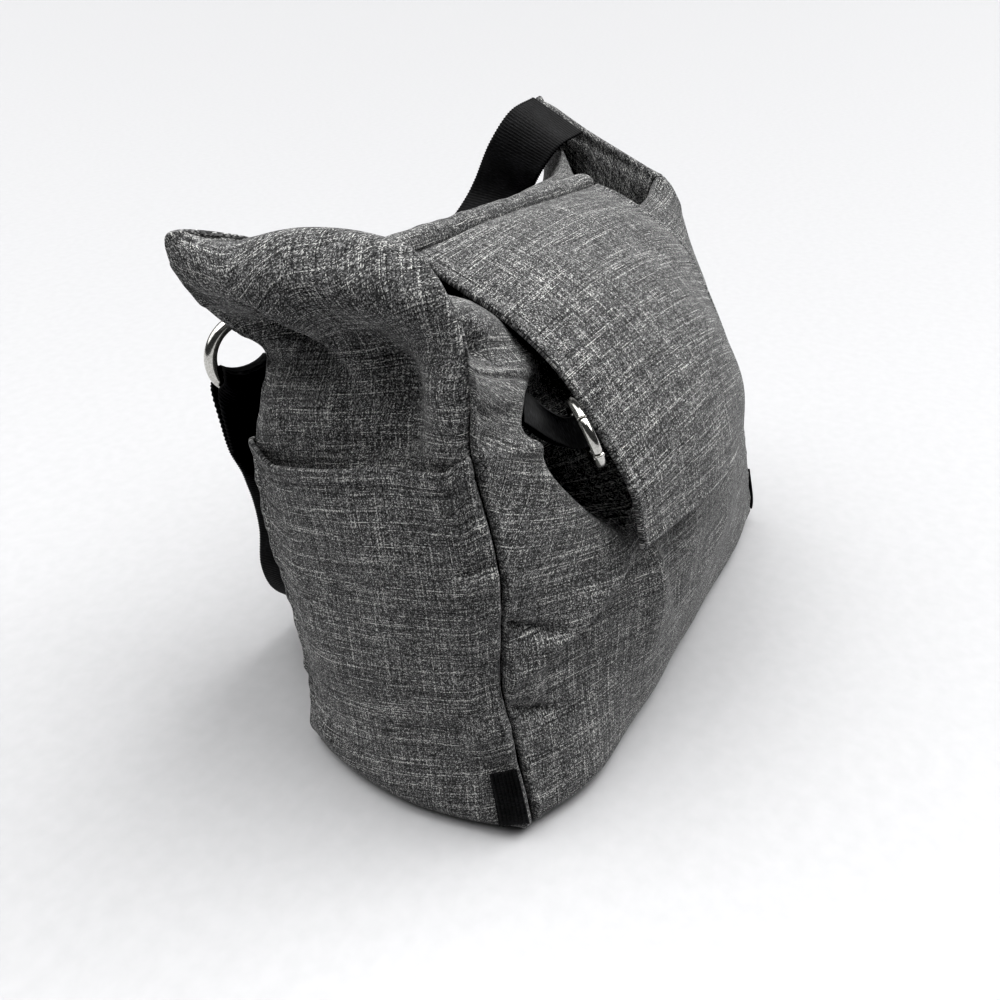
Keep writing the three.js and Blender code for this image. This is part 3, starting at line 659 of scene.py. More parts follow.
def cloth_sheet(name, surface, thick, round_at, material, node, level=None):
    """A cloth piece from its outer surface, with its edges rounded.

    Its weft keeps to the rows, or is measured along the columns from the row of a level.
    """
    points, normals, sign, across, along = surface
    sides, ends = border_distance(across, along)
    thick = np.broadcast_to(thick, across.shape)
    half = thick / 2 * rounded(np.minimum(sides, ends), round_at)
    middle = points - normals * (thick / 2)[..., None]
    straight = along.mean(axis=1, keepdims=True) + 0 * across
    if level is not None:
        straight = along - along[level]
    weave = np.stack([evened(across, EVEN_ALONG, 0), evened(straight, EVEN_ACROSS, 1)], -1)
    obj = sheet_object(name, middle, normals, sign, half, weave)
    return finish_piece(obj, material, "shell_cloth", node)


def add(tree, kind, inputs=None, stops=(), **settings):
    """A node of a kind with its settings and colour stops, and its inputs set or linked.

    A node among the inputs is linked from its first output.
    """
    node = tree.nodes.new(kind)
    for name, value in settings.items():
        setattr(node, name, value)
    for i, (position, colour) in enumerate(stops):
        elements = node.color_ramp.elements
        element = elements[i] if i < len(elements) else elements.new(position)
        element.position = position
        element.color = colour
    for socket, value in (inputs or {}).items():
        if isinstance(value, bpy.types.Node):
            value = value.outputs[0]
        if isinstance(value, bpy.types.NodeSocket):
            tree.links.new(value, node.inputs[socket])
        else:
            node.inputs[socket].default_value = value
    return node


def new_material(name):
    material = bpy.data.materials.new(name)
    material.use_nodes = True
    material.node_tree.nodes.clear()
    return material, material.node_tree


def threads(tree, uv, long, wide, shift=0.0):
    """Noise drawn out along one direction of the cloth: lengths in mm along U and along V."""
    scale = (PER_METRE / long, PER_METRE / wide, 1.0)
    place = {"Vector": uv, "Scale": scale, "Location": (shift, shift, 0)}
    noise = {"Vector": add(tree, "ShaderNodeMapping", place), "Scale": 1.0, "Detail": 0.0}
    return add(tree, "ShaderNodeTexNoise", noise, noise_dimensions="2D")


def yarns(tree, along, across, pitch, seed, share):
    """Number and tone of yarns laid side by side: long light and dark slubs, its own from yarn to yarn."""
    counted = add(tree, "ShaderNodeMath", {0: across, 1: PER_METRE / pitch}, operation="MULTIPLY")
    number = add(tree, "ShaderNodeMath", {0: counted}, operation="FLOOR")
    own = add(tree, "ShaderNodeMath", {0: number, 1: seed}, operation="ADD")
    start = add(tree, "ShaderNodeTexWhiteNoise", {"W": own}, noise_dimensions="1D").outputs["Value"]

    def run(length, jump, detail):
        measured = add(tree, "ShaderNodeMath", {0: along, 1: PER_METRE / length}, operation="MULTIPLY")
        place = add(tree, "ShaderNodeMath", {0: start, 1: jump, 2: measured}, operation="MULTIPLY_ADD")
        noise = {"W": place, "Scale": 1.0, "Detail": detail}
        return add(tree, "ShaderNodeTexNoise", noise, noise_dimensions="1D")

    def crest(value, low, high):
        limits = {"Value": value, "From Min": low, "From Max": high}
        return add(tree, "ShaderNodeMapRange", limits, interpolation_type="SMOOTHSTEP")

    streaks = run(9.0, 700.0, 1.0)
    light = crest(run(70.0, 1100.0, 0.0), 0.63, 0.78)
    dark = crest(run(55.0, 1700.0, 0.0), 0.65, 0.8)
    tone = weighted(tree, ((streaks, 0.3 * share), (start, 0.1 * share)))
    for slub, weight in ((light, 0.26 * share), (dark, -0.2 * share)):
        tone = add(tree, "ShaderNodeMath", {0: slub, 1: weight, 2: tone}, operation="MULTIPLY_ADD")
    return number, tone


def weighted(tree, parts):
    """Sum of values, each less a half and times its weight, about a half."""
    total = 0.5
    for value, weight in parts:
        centred = add(tree, "ShaderNodeMath", {0: value, 1: 0.5}, operation="SUBTRACT")
        total = add(tree, "ShaderNodeMath", {0: centred, 1: weight, 2: total}, operation="MULTIPLY_ADD")
    return total


def melange_cloth():
    """Plain weave of mixed grey polyester yarns: streaks of light and dark slubs along both threads."""
    material, tree = new_material("Melange polyester weave")
    uv = add(tree, "ShaderNodeUVMap", uv_map="weave")
    split = add(tree, "ShaderNodeSeparateXYZ", {0: uv})
    pitch = 0.55
    row, weft = yarns(tree, split.outputs[0], split.outputs[1], pitch, 3.0, 1.0)
    column, warp = yarns(tree, split.outputs[1], split.outputs[0], pitch, 8000.0, 0.75)
    crossing = {"Vector": add(tree, "ShaderNodeCombineXYZ", {0: row, 1: column})}
    own = add(tree, "ShaderNodeTexWhiteNoise", crossing, noise_dimensions="2D").outputs["Value"]
    tone = weighted(tree, ((weft, 1.0), (warp, 1.0), (own, 0.75)))
    colours = bpy.context.scene.bag_colours
    stops = (
        (0.0, colours.cloth_deep),
        (0.5, colours.cloth),
        (0.75, colours.cloth_light),
        (1.0, colours.cloth_slub),
    )
    colour = add(tree, "ShaderNodeValToRGB", {"Fac": tone}, stops)
    bump = {"Height": tone, "Strength": 0.4, "Distance": 0.0004}
    normal = add(tree, "ShaderNodeBump", bump)
    shader = add(tree, "ShaderNodeBsdfPrincipled", {
        "Base Color": colour, "Roughness": 0.92, "Specular IOR Level": 0.25,
        "Sheen Weight": 0.12, "Sheen Roughness": 0.5, "Normal": normal,
    })
    add(tree, "ShaderNodeOutputMaterial", {"Surface": shader})
    return material


def black_webbing():
    """Ribbed webbing of black filament yarn: a dull sheen along the ribs, with dust in the weave and
    painted shade in its hollows.
    """
    material, tree = new_material("Black polyester webbing")
    uv = add(tree, "ShaderNodeUVMap", uv_map="weave")
    yarn = threads(tree, uv, 3.0, 0.5)
    dust = threads(tree, uv, 12, 12, 3.0)
    tone = weighted(tree, ((yarn, 1.0), (dust, 0.6)))
    colours = bpy.context.scene.bag_colours
    # Painted shade: the darkest stop falls where the yarn bump is lowest, in the hollows of the weave.
    stops = ((0.25, colours.webbing_hollow_shade), (0.6, colours.webbing), (0.9, colours.webbing_dust))
    colour = add(tree, "ShaderNodeValToRGB", {"Fac": tone}, stops)
    normal = add(tree, "ShaderNodeBump", {"Height": yarn, "Strength": 0.5, "Distance": 0.0003})
    shader = add(tree, "ShaderNodeBsdfPrincipled", {
        "Base Color": colour, "Roughness": 0.6, "Specular IOR Level": 0.25, "Normal": normal,
    })
    add(tree, "ShaderNodeOutputMaterial", {"Surface": shader})
    return material


def nickel_steel():
    """Steel with polished nickel plate, faintly worn where webbing rubs it."""
    material, tree = new_material("Nickel plated steel")
    place = add(tree, "ShaderNodeTexCoord").outputs["Object"]
    marks_per_mm = 0.9
    rubbed = {"Vector": place, "Scale": marks_per_mm * PER_METRE, "Detail": 3.0}
    wear = add(tree, "ShaderNodeTexNoise", rubbed)
    colours = bpy.context.scene.bag_colours
    stops = ((0.3, colours.plate_worn), (0.7, colours.plate))
    colour = add(tree, "ShaderNodeValToRGB", {"Fac": wear}, stops)
    normal = add(tree, "ShaderNodeBump", {"Height": wear, "Strength": 0.08, "Distance": 0.0002})
    shader = add(tree, "ShaderNodeBsdfPrincipled", {
        "Base Color": colour, "Metallic": 1.0, "Roughness": 0.16, "Normal": normal,
    })
    add(tree, "ShaderNodeOutputMaterial", {"Surface": shader})
    return material


def pale_floor():
    """Smooth pale painted board, faintly mottled."""
    material, tree = new_material("Pale painted board")
    place = add(tree, "ShaderNodeTexCoord").outputs["Object"]
    spots_per_mm = 0.09
    spots = {"Vector": place, "Scale": spots_per_mm * PER_METRE, "Detail": 2.0}
    mottle = add(tree, "ShaderNodeTexNoise", spots)
    colours = bpy.context.scene.bag_colours
    stops = ((0.3, colours.floor_deep), (0.7, colours.floor))
    colour = add(tree, "ShaderNodeValToRGB", {"Fac": mottle}, stops)
    shader = add(tree, "ShaderNodeBsdfPrincipled", {"Base Color": colour, "Roughness": 0.55})
    add(tree, "ShaderNodeOutputMaterial", {"Surface": shader})
    return material


MATERIALS = {}


def material_of(make):
    if make.__name__ not in MATERIALS:
        MATERIALS[make.__name__] = make()
    return MATERIALS[make.__name__]


class BAG_OT_stage(bpy.types.Operator):
    """Set the floor, the lamps and the camera."""

    bl_idname = "bag.stage"
    bl_label = "Floor, lamps and camera"

    def lamp(self, name, towards, spread, strength):
        name = name + "_lamp"
        data = bpy.data.lights.new(name, "SUN")
        data.angle = math.radians(spread)
        data.energy = strength
        obj = bpy.data.objects.new(name, data)
        obj.location = Vector(towards) * 2
        obj.rotation_euler = Vector(towards).to_track_quat("Z", "Y").to_euler()
        bpy.context.scene.collection.objects.link(obj)
        return obj

    def sky(self, strength):
        world = bpy.data.worlds.new("Pale room")
        world.use_nodes = True
        tree = world.node_tree
        tree.nodes.clear()
        light = {"Color": bpy.context.scene.bag_colours.sky, "Strength": strength}
        sky = add(tree, "ShaderNodeBackground", light)
        add(tree, "ShaderNodeOutputWorld", {"Surface": sky})
        return world

    def camera(self, lens):
        data = bpy.data.cameras.new("camera")
        data.lens = lens
        data.sensor_width = SENSOR
        camera = bpy.data.objects.new("camera", data)
        camera.location = Vector(CAMERA_AT * MM + ZERO)
        flat = unit(CAMERA_HEADING) * math.cos(CAMERA_PITCH)
        look = Vector((*flat, -math.sin(CAMERA_PITCH)))
        camera.rotation_euler = look.to_track_quat("-Z", "Y").to_euler()
        return camera

    def execute(self, context):
        scene = context.scene
        stage = scene.bag_stage
        tones = scene.view_settings
        tones.view_transform = "Standard"
        tones.gamma = stage.gamma
        tones.use_curve_mapping = True
        tones.curve_mapping.black_level = (stage.black, stage.black, stage.black)
        corners = np.array([(-1, -1, 0), (1, -1, 0), (1, 1, 0), (-1, 1, 0)]) * FLOOR_REACH
        floor = mesh_object("floor", corners, np.array([[0, 1, 2, 3]]), corners[:, :2])
        floor.data.materials.append(material_of(pale_floor))
        lamps = [self.lamp(name, *LAMPS[name], getattr(stage, name)) for name in LAMPS]
        scene.world = self.sky(stage.world)
        scene.camera = self.camera(stage.lens)
        scene.collection.objects.link(scene.camera)
        return {"FINISHED"}


class BAG_OT_walls(bpy.types.Operator):
    """Build the four walls and the base."""

    bl_idname = "bag.walls"
    bl_label = "Walls and base"

    def execute(self, context):
        sizes = context.scene.bag_sizes
        cloth = material_of(melange_cloth)
        levels = seam_levels(215)
        rim = int(np.abs(levels - RIM_LEVEL).argmin())
        edge = 1.4
        plain = spaced(190)
        ear = dense(215, -1, 1, middle=0.0, width=0.5, gain=0.5)
        recess = dense(228, -1, 1, middle=-0.85, width=0.3, gain=1.8)
        walls = (
            ("left_end", "left", (-1, 0, 0), ear, rim, 11),
            ("front", "front", (0, -1, 0), recess, None, 23),
            ("back", "back", (0, 1, 0), plain, None, 37),
            ("right_end", "right", (1, 0, 0), plain, rim, 41),
        )
        for name, face, towards, columns, level, seed in walls:
            point = partial(face_point, face)
            surface = cloth_surface(point, columns, levels, towards, CREASES[face], sizes, seed)
            surface[0][..., 2] = np.maximum(surface[0][..., 2], 0.0)
            node = name + "_panel"
            cloth_sheet(name + "_wall", surface, sizes.wall, edge, cloth, node, level)
        self.base(cloth)
        return {"FINISHED"}

    def base(self, cloth):
        """The flat base: rings from the rim to the middle, closed by a lower and an upper layer."""
        s = np.linspace(-1, 1, 40)
        order = (("left", s), ("back", s), ("right", -s), ("front", -s))
        rim = np.concatenate([face_point(face, at, 0 * at)[:-1] for face, at in order])
        under = ((0.1, 0), (0.4, 0), (0.7, 0), (0.98, 0))
        over = ((0.985, 0.6), (0.99, 1.2), (0.98, 1.8), (0.7, 2.2), (0.4, 2.4), (0.1, 2.4))
        layers = [np.column_stack([rim[:, :2] * k, np.full(len(rim), z)]) for k, z in under + over]
        rings = np.array(layers, float)
        obj = loft_object("base", rings)
        finish_piece(obj, cloth, "shell_cloth", "base_panel")


def loft_object(name, rings, joined=False):
    """A closed skin through rings of points: its ends capped, or joined to each other."""
    count, around = rings.shape[:2]
    ids = np.arange(count * around).reshape(count, around)
    wrapped = np.concatenate([ids, ids[:, :1]], axis=1)
    if joined:
        wrapped = np.concatenate([wrapped, wrapped[:1]])
    quads = quads_of(wrapped)
    flow = np.roll(rings, -1, axis=0) - rings
    turn = np.roll(rings, -1, axis=1) - rings
    out = rings - rings.mean(axis=1, keepdims=True)
    volume = np.einsum("ijk,ijk->ij", np.cross(turn, flow), out)[:-1].sum()
    caps = () if joined else (ids[0], ids[-1][::-1])
    if volume > 0:
        caps = tuple(cap[::-1] for cap in caps)
    else:
        quads = quads[:, ::-1]
    steps = np.linalg.norm(np.diff(rings, axis=1), axis=-1)
    across = np.cumsum(np.pad(steps, ((0, 0), (1, 0))), axis=1)
    along = run_of(rings.mean(axis=1))
    uv = np.stack([along[:, None] + 0 * across, across], -1).reshape(-1, 2)
    return mesh_object(name, rings.reshape(-1, 3), quads, uv, caps)


class BAG_OT_pockets(bpy.types.Operator):
    """Build the open end pockets with their hem stitches."""

    bl_idname = "bag.pockets"
    bl_label = "End pockets"

    def point(self, side, sizes, s, v):
        """Point of a pocket: off the end wall, bellied out to its rim and tucked into the seams.

        It lies a gap off the wall and stands out from a level, belly, by the square of the way to the rim.
        """
        lie = 0.8
        belly = 0.8
        inset = 0.99
        rear = 0.24 * smooth((s - 0.7) / 0.3)
        front = 0.12 * smooth((-s - 0.8) / 0.2)
        dip = 0.06
        lift = (rear + front - dip) * np.clip((v - POCKET_FOOT) / (RIM_LEVEL - POCKET_FOOT), 0, 1) ** 4
        wall = end_point(side, inset * s, v + lift)
        normals = normals_of(wall, (side, 0, 0))[0]
        share = np.clip((v - belly) / (RIM_LEVEL - belly), 0, 1) ** 2
        stand = lie + sizes.pocket + sizes.pocket_open * (1 - s * s) * share
        tuck = 1 - 1.15 * bell((1 - np.abs(s)) / 0.018)
        return wall + normals * (stand * tuck)[..., None]

    def pocket(self, name, count, creases, seed, sizes, cloth):
        """A pocket's cloth, thicker and raised over its hem, with a groove for the stitches."""
        edge = 1.5
        hem_depth = 9
        hem_fade = 2
        hem_rise = 0.7
        hem_thick = 1.2
        floor_gap = 0.2
        towards = (SIDES[name], 0, 0)
        point = partial(self.point, SIDES[name], sizes)
        s = spaced(count)
        v = spaced(180, POCKET_FOOT, RIM_LEVEL)
        surface = cloth_surface(point, s, v, towards, CREASES[creases], sizes, seed)
        points, normals, sign, across, along = surface
        down = along[-1:] - along
        hem = smooth(1 - (down - hem_depth) / hem_fade)
        groove = ridge(down, at=HEM_DOWN, reach=1.2, height=0.6)
        points = points + normals * (hem_rise * hem - groove)[..., None]
        points[..., 2] = np.maximum(points[..., 2], floor_gap)
        thick = sizes.pocket + hem_thick * hem
        surface = (points, normals, sign, across, along)
        node = name + "_pocket"
        cloth_sheet(node + "_cloth", surface, thick, edge, cloth, node, -1)
        self.stitches(name, points, normals, down)

    def stitches(self, name, points, normals, down):
        """A row of thread spindles that lie in the hem's groove, under the rim."""
        columns = np.arange(points.shape[1])
        row = np.abs(down - HEM_DOWN).argmin(axis=0)
        line = points[row, columns]
        out = normals[row, columns]
        length = run_of(line)
        pitch = 3.4
        margin = 3
        half = 1.25
        thread = 0.32
        arch = 0.35
        at = np.arange(margin, length[-1] - margin, pitch)
        k = np.linspace(-1, 1, 7)
        lengthwise = at[:, None] + half * k
        centre = np.stack([np.interp(lengthwise, length, line[:, i]) for i in range(3)], -1)
        raised = unit(np.stack([np.interp(lengthwise, length, out[:, i]) for i in range(3)], -1))
        run = unit(np.gradient(centre, axis=1))
        side = np.cross(raised, run)
        angle = np.linspace(0, 2 * math.pi, 6, endpoint=False)[:, None]
        radius = thread * np.sqrt(1.02 - k * k)
        centre = centre + raised * (arch * (1 - k * k))[None, :, None]
        turn = raised[:, :, None] * np.cos(angle) + side[:, :, None] * np.sin(angle)
        rings = centre[:, :, None] + radius[None, :, None, None] * turn
        ids = np.arange(rings[..., 0].size).reshape(rings.shape[:3])
        ids = np.concatenate([ids, ids[:, :, :1]], axis=2)
        quads = np.concatenate([quads_of(stitch) for stitch in ids])
        caps = [cap for stitch in ids for cap in (stitch[0, :-1][::-1], stitch[-1, :-1])]
        flat = rings.reshape(-1, 3)
        obj = mesh_object(name + "_hem_stitches", flat, quads, flat[:, :2], caps)
        finish_piece(obj, material_of(melange_cloth), "shell_cloth")

    def execute(self, context):
        sizes = context.scene.bag_sizes
        cloth = material_of(melange_cloth)
        self.pocket("left", 190, "left_pocket", 53, sizes, cloth)
        self.pocket("right", 110, "right_pocket", 59, sizes, cloth)
        return {"FINISHED"}


class BAG_OT_flap(bpy.types.Operator):
    """Build the top roll and the flap that hangs from it."""

    bl_idname = "bag.flap"
    bl_label = "Roll and flap"

    def execute(self, context):
        sizes = context.scene.bag_sizes
        cloth = material_of(melange_cloth)
        s = spaced(190)
        v = spaced(210, 0.0, 7.0)
        towards = (0, -1, 1)
        surface = cloth_surface(flap_point, s, v, towards, CREASES["flap"], sizes, 61, seams=False)
        points, normals, sign, across, along = surface
        edge = np.minimum(border_distance(across, along)[0], along[-1:] - along)
        bead = ridge(edge, at=3, reach=2.4, height=0.6)
        groove = ridge(edge, at=8, reach=1.6, height=0.5)
        points = points + normals * (bead - groove)[..., None]
        surface = (points, normals, sign, across, along)
        cloth_sheet("flap_cloth", surface, sizes.flap, 0.5 * sizes.flap, cloth, "flap")
        self.roll(sizes, cloth)
        return {"FINISHED"}

    def roll(self, sizes, cloth):
        """The rolled top edge: a tube whose radius drops to its ends, with soft slanting wrinkles."""
        tip = 0.15
        taper = 14
        slant = 0.6
        deep = 0.35
        fade = 30
        u = spaced(170, 0, 1)
        x = ROLL_LEFT[0] + (ROLL_RIGHT[0] - ROLL_LEFT[0]) * u
        z = ROLL_LEFT[1] + (ROLL_RIGHT[1] - ROLL_LEFT[1]) * u
        end = np.minimum(x - ROLL_LEFT[0], ROLL_RIGHT[0] - x)
        radius = sizes.roll * (tip + (1 - tip) * rounded(end, taper))
        angle = np.linspace(0, 2 * math.pi, 40, endpoint=False)
        grid_x, grid_a = np.meshgrid(x, angle, indexing="ij")
        around = grid_a * sizes.roll
        wrinkle = deep * (0.3 + 0.25 * np.sin(grid_a)) * smooth(end / fade)[:, None]
        wave = ripple(grid_x + slant * around, (1 - slant) * around, 22, 71)
        reach = radius[:, None] + wrinkle * wave
        y = ROLL_Y + reach * np.cos(grid_a)
        rings = np.stack([grid_x, y, z[:, None] + reach * np.sin(grid_a)], -1)
        obj = loft_object("roll_cloth", rings)
        finish_piece(obj, cloth, "shell_cloth", "top_roll")


def pole_of(turn):
    """Direction in the strap ring's plane, turned from straight up towards the bag's middle."""
    return UP * math.cos(turn) - RING_SIDE * math.sin(turn)


def wrap_row(pole, fall, out, inward, ring_radius, wrap=WRAP):
    """A webbing row at the strap ring's wire: centre, width direction, half width, cup and lift direction.

    The webbing is cupped to the ring. It flares and flattens as it falls below, and narrows inside.
    """
    flare = 0.6
    narrow = 0.35
    flatten = 0.8
    kept = 4
    fading = 16
    wire = RING_AT + pole * ring_radius
    below = max(0.0, -inward)
    inside = max(0.0, inward)
    fade = float(bell(max(0.0, below - kept) / fading)) * (1 - flatten * inside / ring_radius)
    centre = wire + RING_AXIS * out - fall * inward
    half = min(STRAP_HALF, (ring_radius + flare * below - narrow * inside) * math.sin(wrap))
    cup = (ring_radius + below) * (1 - math.cos(wrap)) * fade
    width = np.cross(RING_AXIS, pole)
    return (*centre, *(width * np.sign(width @ RING_SIDE)), half, cup, *(-pole))


def turn_rows(pole, fall, ring_radius, slack=WRAP_RADIUS, wrap=WRAP):
    """Rows of the half turn round the wire, which stand slack off it on the ring's inside."""
    rows = []
    for a in np.linspace(0, math.pi, 9):
        out = -WRAP_RADIUS * math.cos(a)
        rows.append(wrap_row(pole, fall, out, slack * math.sin(a), ring_radius, wrap))
    return rows


def band_object(name, keys, sizes, material, node, thick,
                columns=13, step=0.5, rib=0.28, lengthwise=False, wrap=WRAP):
    """Webbing through key rows: evenly stepped along it, its ribs raised by a cosine of the pitch."""
    notch = 0.35
    edge_hold = 20
    corner = 1.0
    per_key = 60
    least = 12
    keys = np.array(keys, float)
    fine = np.linspace(0, len(keys) - 1, per_key * len(keys))
    path = spline(keys[:, :3], fine)
    length = run_of(path)
    count = max(least, int(length[-1] / step))
    at = np.interp(np.linspace(0, length[-1], count), length, fine)
    rows = spline(keys, at)
    s = spaced(columns)
    side = np.sin(wrap * s) / math.sin(wrap)
    rise = (1 - np.cos(wrap * s)) / (1 - math.cos(wrap))
    width = unit(rows[:, None, 3:6]) * (rows[:, 6, None] * side)[..., None]
    cup = rows[:, None, 8:11] * (rows[:, 7, None] * rise)[..., None]
    along = np.linspace(0, length[-1], count)[:, None] + 0 * side
    across = rows[:, 6, None] * s
    phase = 2 * math.pi * (across if lengthwise else along) / sizes.rib
    points = rows[:, None, :3] + width + cup
    if not lengthwise:
        edge = (np.abs(s) ** edge_hold) * np.sign(s)
        points = points + unit(rows[:, None, 3:6]) * (notch * np.cos(phase) * edge)[..., None]
    normals, sign = normals_of(points, UP)
    sides, ends = border_distance(across, along)
    half = (thick / 2 - rib + rib * (1 + np.cos(phase)) / 2) * rounded(np.minimum(sides, ends), corner)
    obj = sheet_object(name, points, normals, sign, half, np.stack([across, along], -1))
    finish_piece(obj, material, "strap_webbing", node)


class BAG_OT_webbing(bpy.types.Operator):
    """Build the shoulder strap, the ring's hanger, the snap ring's tape and the corner tabs."""

    bl_idname = "bag.webbing"
    bl_label = "Webbing"

    def strap_rows(self, ring):
        """Rows of the strap: a loop through the ring, closing as it falls, and then the STRAP table."""
        drops = (1.0, 0.6, 0.25)
        closing = 0.7
        pole = pole_of(STRAP_TURN)
        fall = unit(STRAP_FALL * LOOP_LENGTH - (UP + pole) * ring)

        def layer(sign, share):
            out = WRAP_RADIUS + (LOOP_SEWN - WRAP_RADIUS) * share ** closing
            return wrap_row(pole, fall, sign * out, -share * LOOP_LENGTH, ring)

        front = [layer(-1, share) for share in drops]
        rear = [layer(1, share) for share in drops[::-1]]
        rest = [(*row[:3], *unit(row[3:6]), STRAP_HALF, 0, 0, 0, 1) for row in STRAP]
        return front + turn_rows(pole, fall, ring, STRAP_SLACK) + rear + rest

    def hanger_rows(self, ring):
        """Rows of the hanger: from the back wall under the ring's wire, round it and back over."""
        above = 6
        pole = pole_of(HANGER_TURN)
        turn = turn_rows(pole, pole, ring, wrap=HANGER_WRAP)
        top = wrap_row(pole, pole, 0, -above, ring, HANGER_WRAP)

        def lead(y, z):
            return (top[0], y, z, *top[3:6], top[6], 0, *(-pole))

        return [lead(*at) for at in HANGER_UNDER] + turn + [lead(*at) for at in HANGER_OVER]

    def tape_rows(self, ring):
        """Rows of the tape: from its sewn end to the ring, half a turn round the wire and back.

        It climbs and turns to its sewn edge by the square of the way along.
        """
        half = 9.5
        sewn = 12.7
        turn = 6.0
        rise = 1.6
        wire = SNAP_AT - SNAP_SIDE * ring
        climb = float((TAPE_END - wire) @ SNAP_TOP)
        run = TAPE_END - wire - SNAP_TOP * climb
        reach = float(np.linalg.norm(run))
        run = run / reach

        def row(u, w):
            k = max(0.0, u / reach)
            width = unit(SNAP_TOP + (TAPE_EDGE - SNAP_TOP) * k * k)
            off = unit(np.cross(width, run * reach + SNAP_TOP * 2 * climb * k))
            centre = wire + run * u + SNAP_TOP * climb * k * k + off * w
            return (*centre, *width, half + (sewn - half) * k * k, 0, 0, 0, 1)

        lead = ((1, 1.05, 1.3), (0.6, 2.8, 1.3), (0.25, 5.2, 1.6))
        angles = np.linspace(0.5 * math.pi, 1.5 * math.pi, 9)
        near = [row(u * reach, up - w) for u, w, up in lead]
        arc = [row(turn * math.cos(a), rise - turn * math.sin(a)) for a in angles]
        far = [row(u * reach, up + w) for u, w, up in lead[::-1]]
        return near + arc + far

    def tab(self, name, sizes, material):
        """A corner tab: a ribbed patch that lies off the end wall, over the pocket."""
        side = SIDES[name]
        off = 3.2
        rib = 0.8
        low = 1.06
        high = 1.92
        seam = -0.985
        free = -0.79
        slant = 0.12
        s = spaced(70, seam, free)
        at_v, at_s = np.meshgrid(spaced(60, low, high), s, indexing="ij")
        at_v = at_v + slant * (at_s - free) / (seam - free)
        points = end_point(side, at_s, at_v)
        normals, sign = normals_of(points, (side, 0, 0))
        across, along = lengths_of(points)
        sides, ends = border_distance(across, along)
        ribs = (1 + np.cos(2 * math.pi * across / sizes.rib)) / 2
        half = (sizes.tab / 2 - rib + rib * ribs) * rounded(np.minimum(sides, ends), 1.0)
        middle = points + normals * (off + sizes.tab / 2)
        uv = np.stack([across, along], -1)
        obj = sheet_object(name + "_tab_webbing", middle, normals, sign, half, uv)
        finish_piece(obj, material, "strap_webbing", name + "_corner_tab")

    def execute(self, context):
        sizes = context.scene.bag_sizes
        webbing = material_of(black_webbing)
        ring = sizes.strap_ring
        thick = sizes.webbing
        rows = self.strap_rows(ring)
        band_object("strap_webbing", rows, sizes, webbing, "shoulder_strap", thick)
        rows = self.hanger_rows(ring)
        band_object("hanger_webbing", rows, sizes, webbing, "ring_hanger", thick, wrap=HANGER_WRAP)
        rows = self.tape_rows(sizes.snap_ring)
        band_object("tape_webbing", rows, sizes, webbing, "ring_tape", sizes.tape,
                    columns=25, step=0.6, rib=0.18, lengthwise=True)
        for name in SIDES:
            self.tab(name, sizes, webbing)
        return {"FINISHED"}


def wire_rings(at, axis, top, radius, wire, angles, shares, around=32):
    """Rings of a round wire bent to a radius: one at each angle from the top, scaled by its share."""
    side = np.cross(axis, top)
    out = np.cos(angles)[:, None] * top + np.sin(angles)[:, None] * side
    b = np.linspace(0, 2 * math.pi, around, endpoint=False)
    thick = wire * shares[:, None]
    reach = radius + thick * np.cos(b)
    return at + out[:, None] * reach[..., None] + axis * (thick * np.sin(b))[..., None]


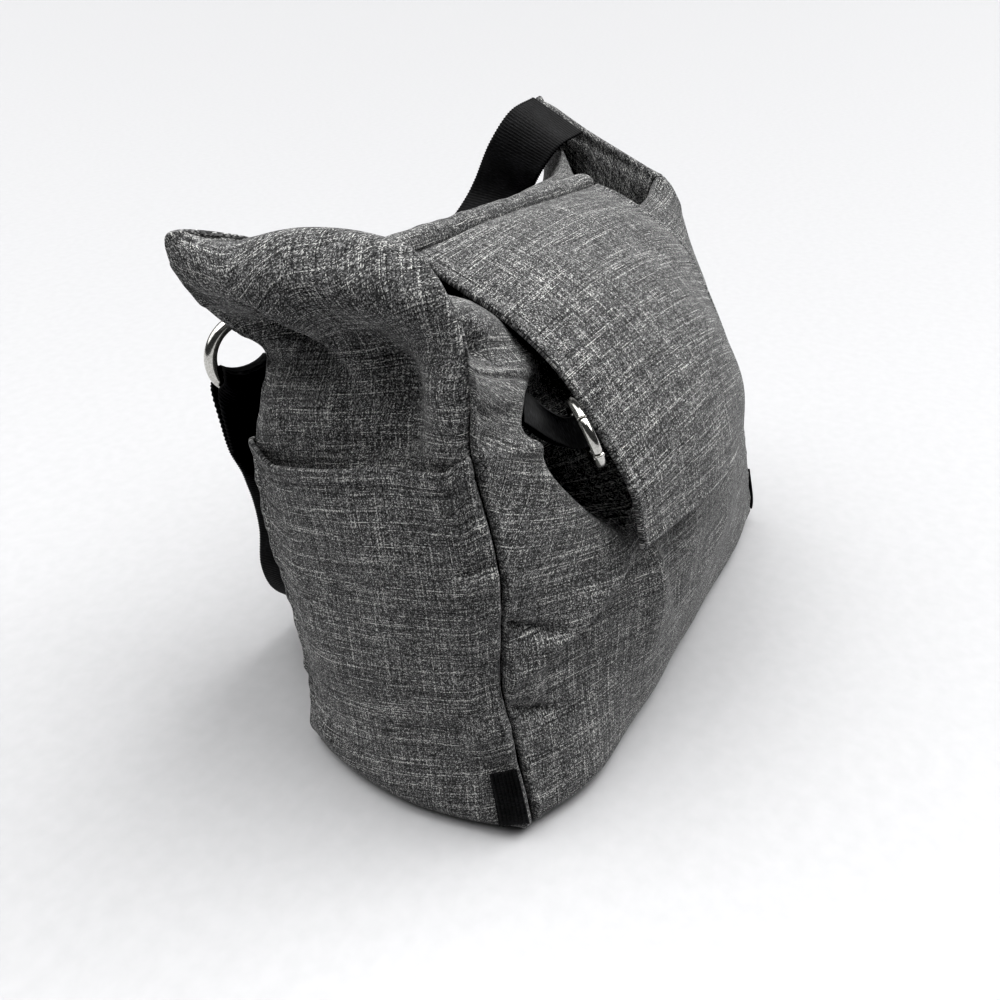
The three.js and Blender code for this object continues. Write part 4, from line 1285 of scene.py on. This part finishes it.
class BAG_OT_rings(bpy.types.Operator):
    """Build the strap ring and the snap ring with its gate and pin."""

    bl_idname = "bag.rings"
    bl_label = "Rings"

    def arc(self, start, stop, sizes, count):
        """A wire arc of the snap ring in degrees, with its two ends rounded over."""
        blunt = 0.45
        corner = 0.7
        radius = sizes.snap_ring
        wire = sizes.snap_wire
        angles = np.radians(spaced(count, start, stop))
        along = (angles - angles[0]) * radius
        shares = blunt + (1 - blunt) * rounded(np.minimum(along, along[-1] - along), corner)
        return wire_rings(SNAP_AT, SNAP_AXIS, SNAP_TOP, radius, wire, angles, shares)

    def execute(self, context):
        sizes = context.scene.bag_sizes
        steel = material_of(nickel_steel)
        angles = np.linspace(0, 2 * math.pi, 128, endpoint=False)
        round_wire = np.ones(len(angles))
        rings = wire_rings(RING_AT, RING_AXIS, UP, sizes.strap_ring, sizes.strap_wire, angles, round_wire)
        strap_ring = loft_object("strap_ring_steel", rings, joined=True)
        finish_piece(strap_ring, steel, "ring_steel", "strap_ring")
        gap = 0.6
        seat = 0.8
        swing = 2.4
        rings = self.arc(GATE_HINGE + seat, 360 + GATE_FREE - gap, sizes, 120)
        body = loft_object("snap_ring_steel", rings)
        finish_piece(body, steel, "ring_steel", "snap_ring")
        rings = self.arc(GATE_FREE + gap, GATE_HINGE - swing, sizes, 40)
        gate = loft_object("snap_gate_steel", rings)
        finish_piece(gate, steel, "ring_steel", "snap_gate", body="gate")
        self.pin(sizes, steel, math.radians(GATE_HINGE))
        return {"FINISHED"}

    def pin(self, sizes, steel, hinge):
        """The gate's rivet: a short round pin with domed heads on both faces of the ring."""
        past_hinge = 2.4
        proud = 0.35
        out = math.cos(hinge) * SNAP_TOP + math.sin(hinge) * SNAP_SIDE
        back = -math.sin(hinge) * SNAP_TOP + math.cos(hinge) * SNAP_SIDE
        centre = SNAP_AT + out * sizes.snap_ring + back * past_hinge
        dome = np.array([(1, 0.3), (0.98, 0.7), (0.93, 1.0), (0.85, 1.15)])
        height = (sizes.snap_wire + proud) * np.concatenate([-dome[:, 0], dome[::-1, 0]])
        radius = np.concatenate([dome[:, 1], dome[::-1, 1]])
        b = np.linspace(0, 2 * math.pi, 32, endpoint=False)
        turn = out * np.cos(b)[:, None] + back * np.sin(b)[:, None]
        rings = centre + SNAP_AXIS * height[:, None, None] + turn * radius[:, None, None]
        finish_piece(loft_object("snap_pin_steel", rings), steel, "ring_steel", "snap_pin")


class BAG_PT_panel(bpy.types.Panel):
    """Lists the bag's build steps."""

    bl_idname = "BAG_PT_panel"
    bl_label = "Diaper bag"
    bl_space_type = "VIEW_3D"
    bl_region_type = "UI"
    bl_category = "Bag"

    def draw(self, context):
        for step in STEPS:
            self.layout.operator(step.bl_idname)
        scene = context.scene
        for group in (scene.bag_sizes, scene.bag_colours, scene.bag_stage):
            for name in group.__annotations__:
                self.layout.prop(group, name)


STEPS = (BAG_OT_stage, BAG_OT_walls, BAG_OT_pockets, BAG_OT_flap, BAG_OT_webbing, BAG_OT_rings)
CLASSES = (BagSizes, BagColours, BagStage, *STEPS, BAG_PT_panel)


def register():
    for cls in CLASSES:
        bpy.utils.register_class(cls)
    bpy.types.Scene.bag_sizes = bpy.props.PointerProperty(type=BagSizes)
    bpy.types.Scene.bag_colours = bpy.props.PointerProperty(type=BagColours)
    bpy.types.Scene.bag_stage = bpy.props.PointerProperty(type=BagStage)


def unregister():
    del bpy.types.Scene.bag_stage
    del bpy.types.Scene.bag_colours
    del bpy.types.Scene.bag_sizes
    for cls in reversed(CLASSES):
        bpy.utils.unregister_class(cls)


def main():
    register()
    bpy.ops.bag.stage()
    bpy.ops.bag.walls()
    bpy.ops.bag.pockets()
    bpy.ops.bag.flap()
    bpy.ops.bag.webbing()
    bpy.ops.bag.rings()


if __name__ == "__main__":
    main()
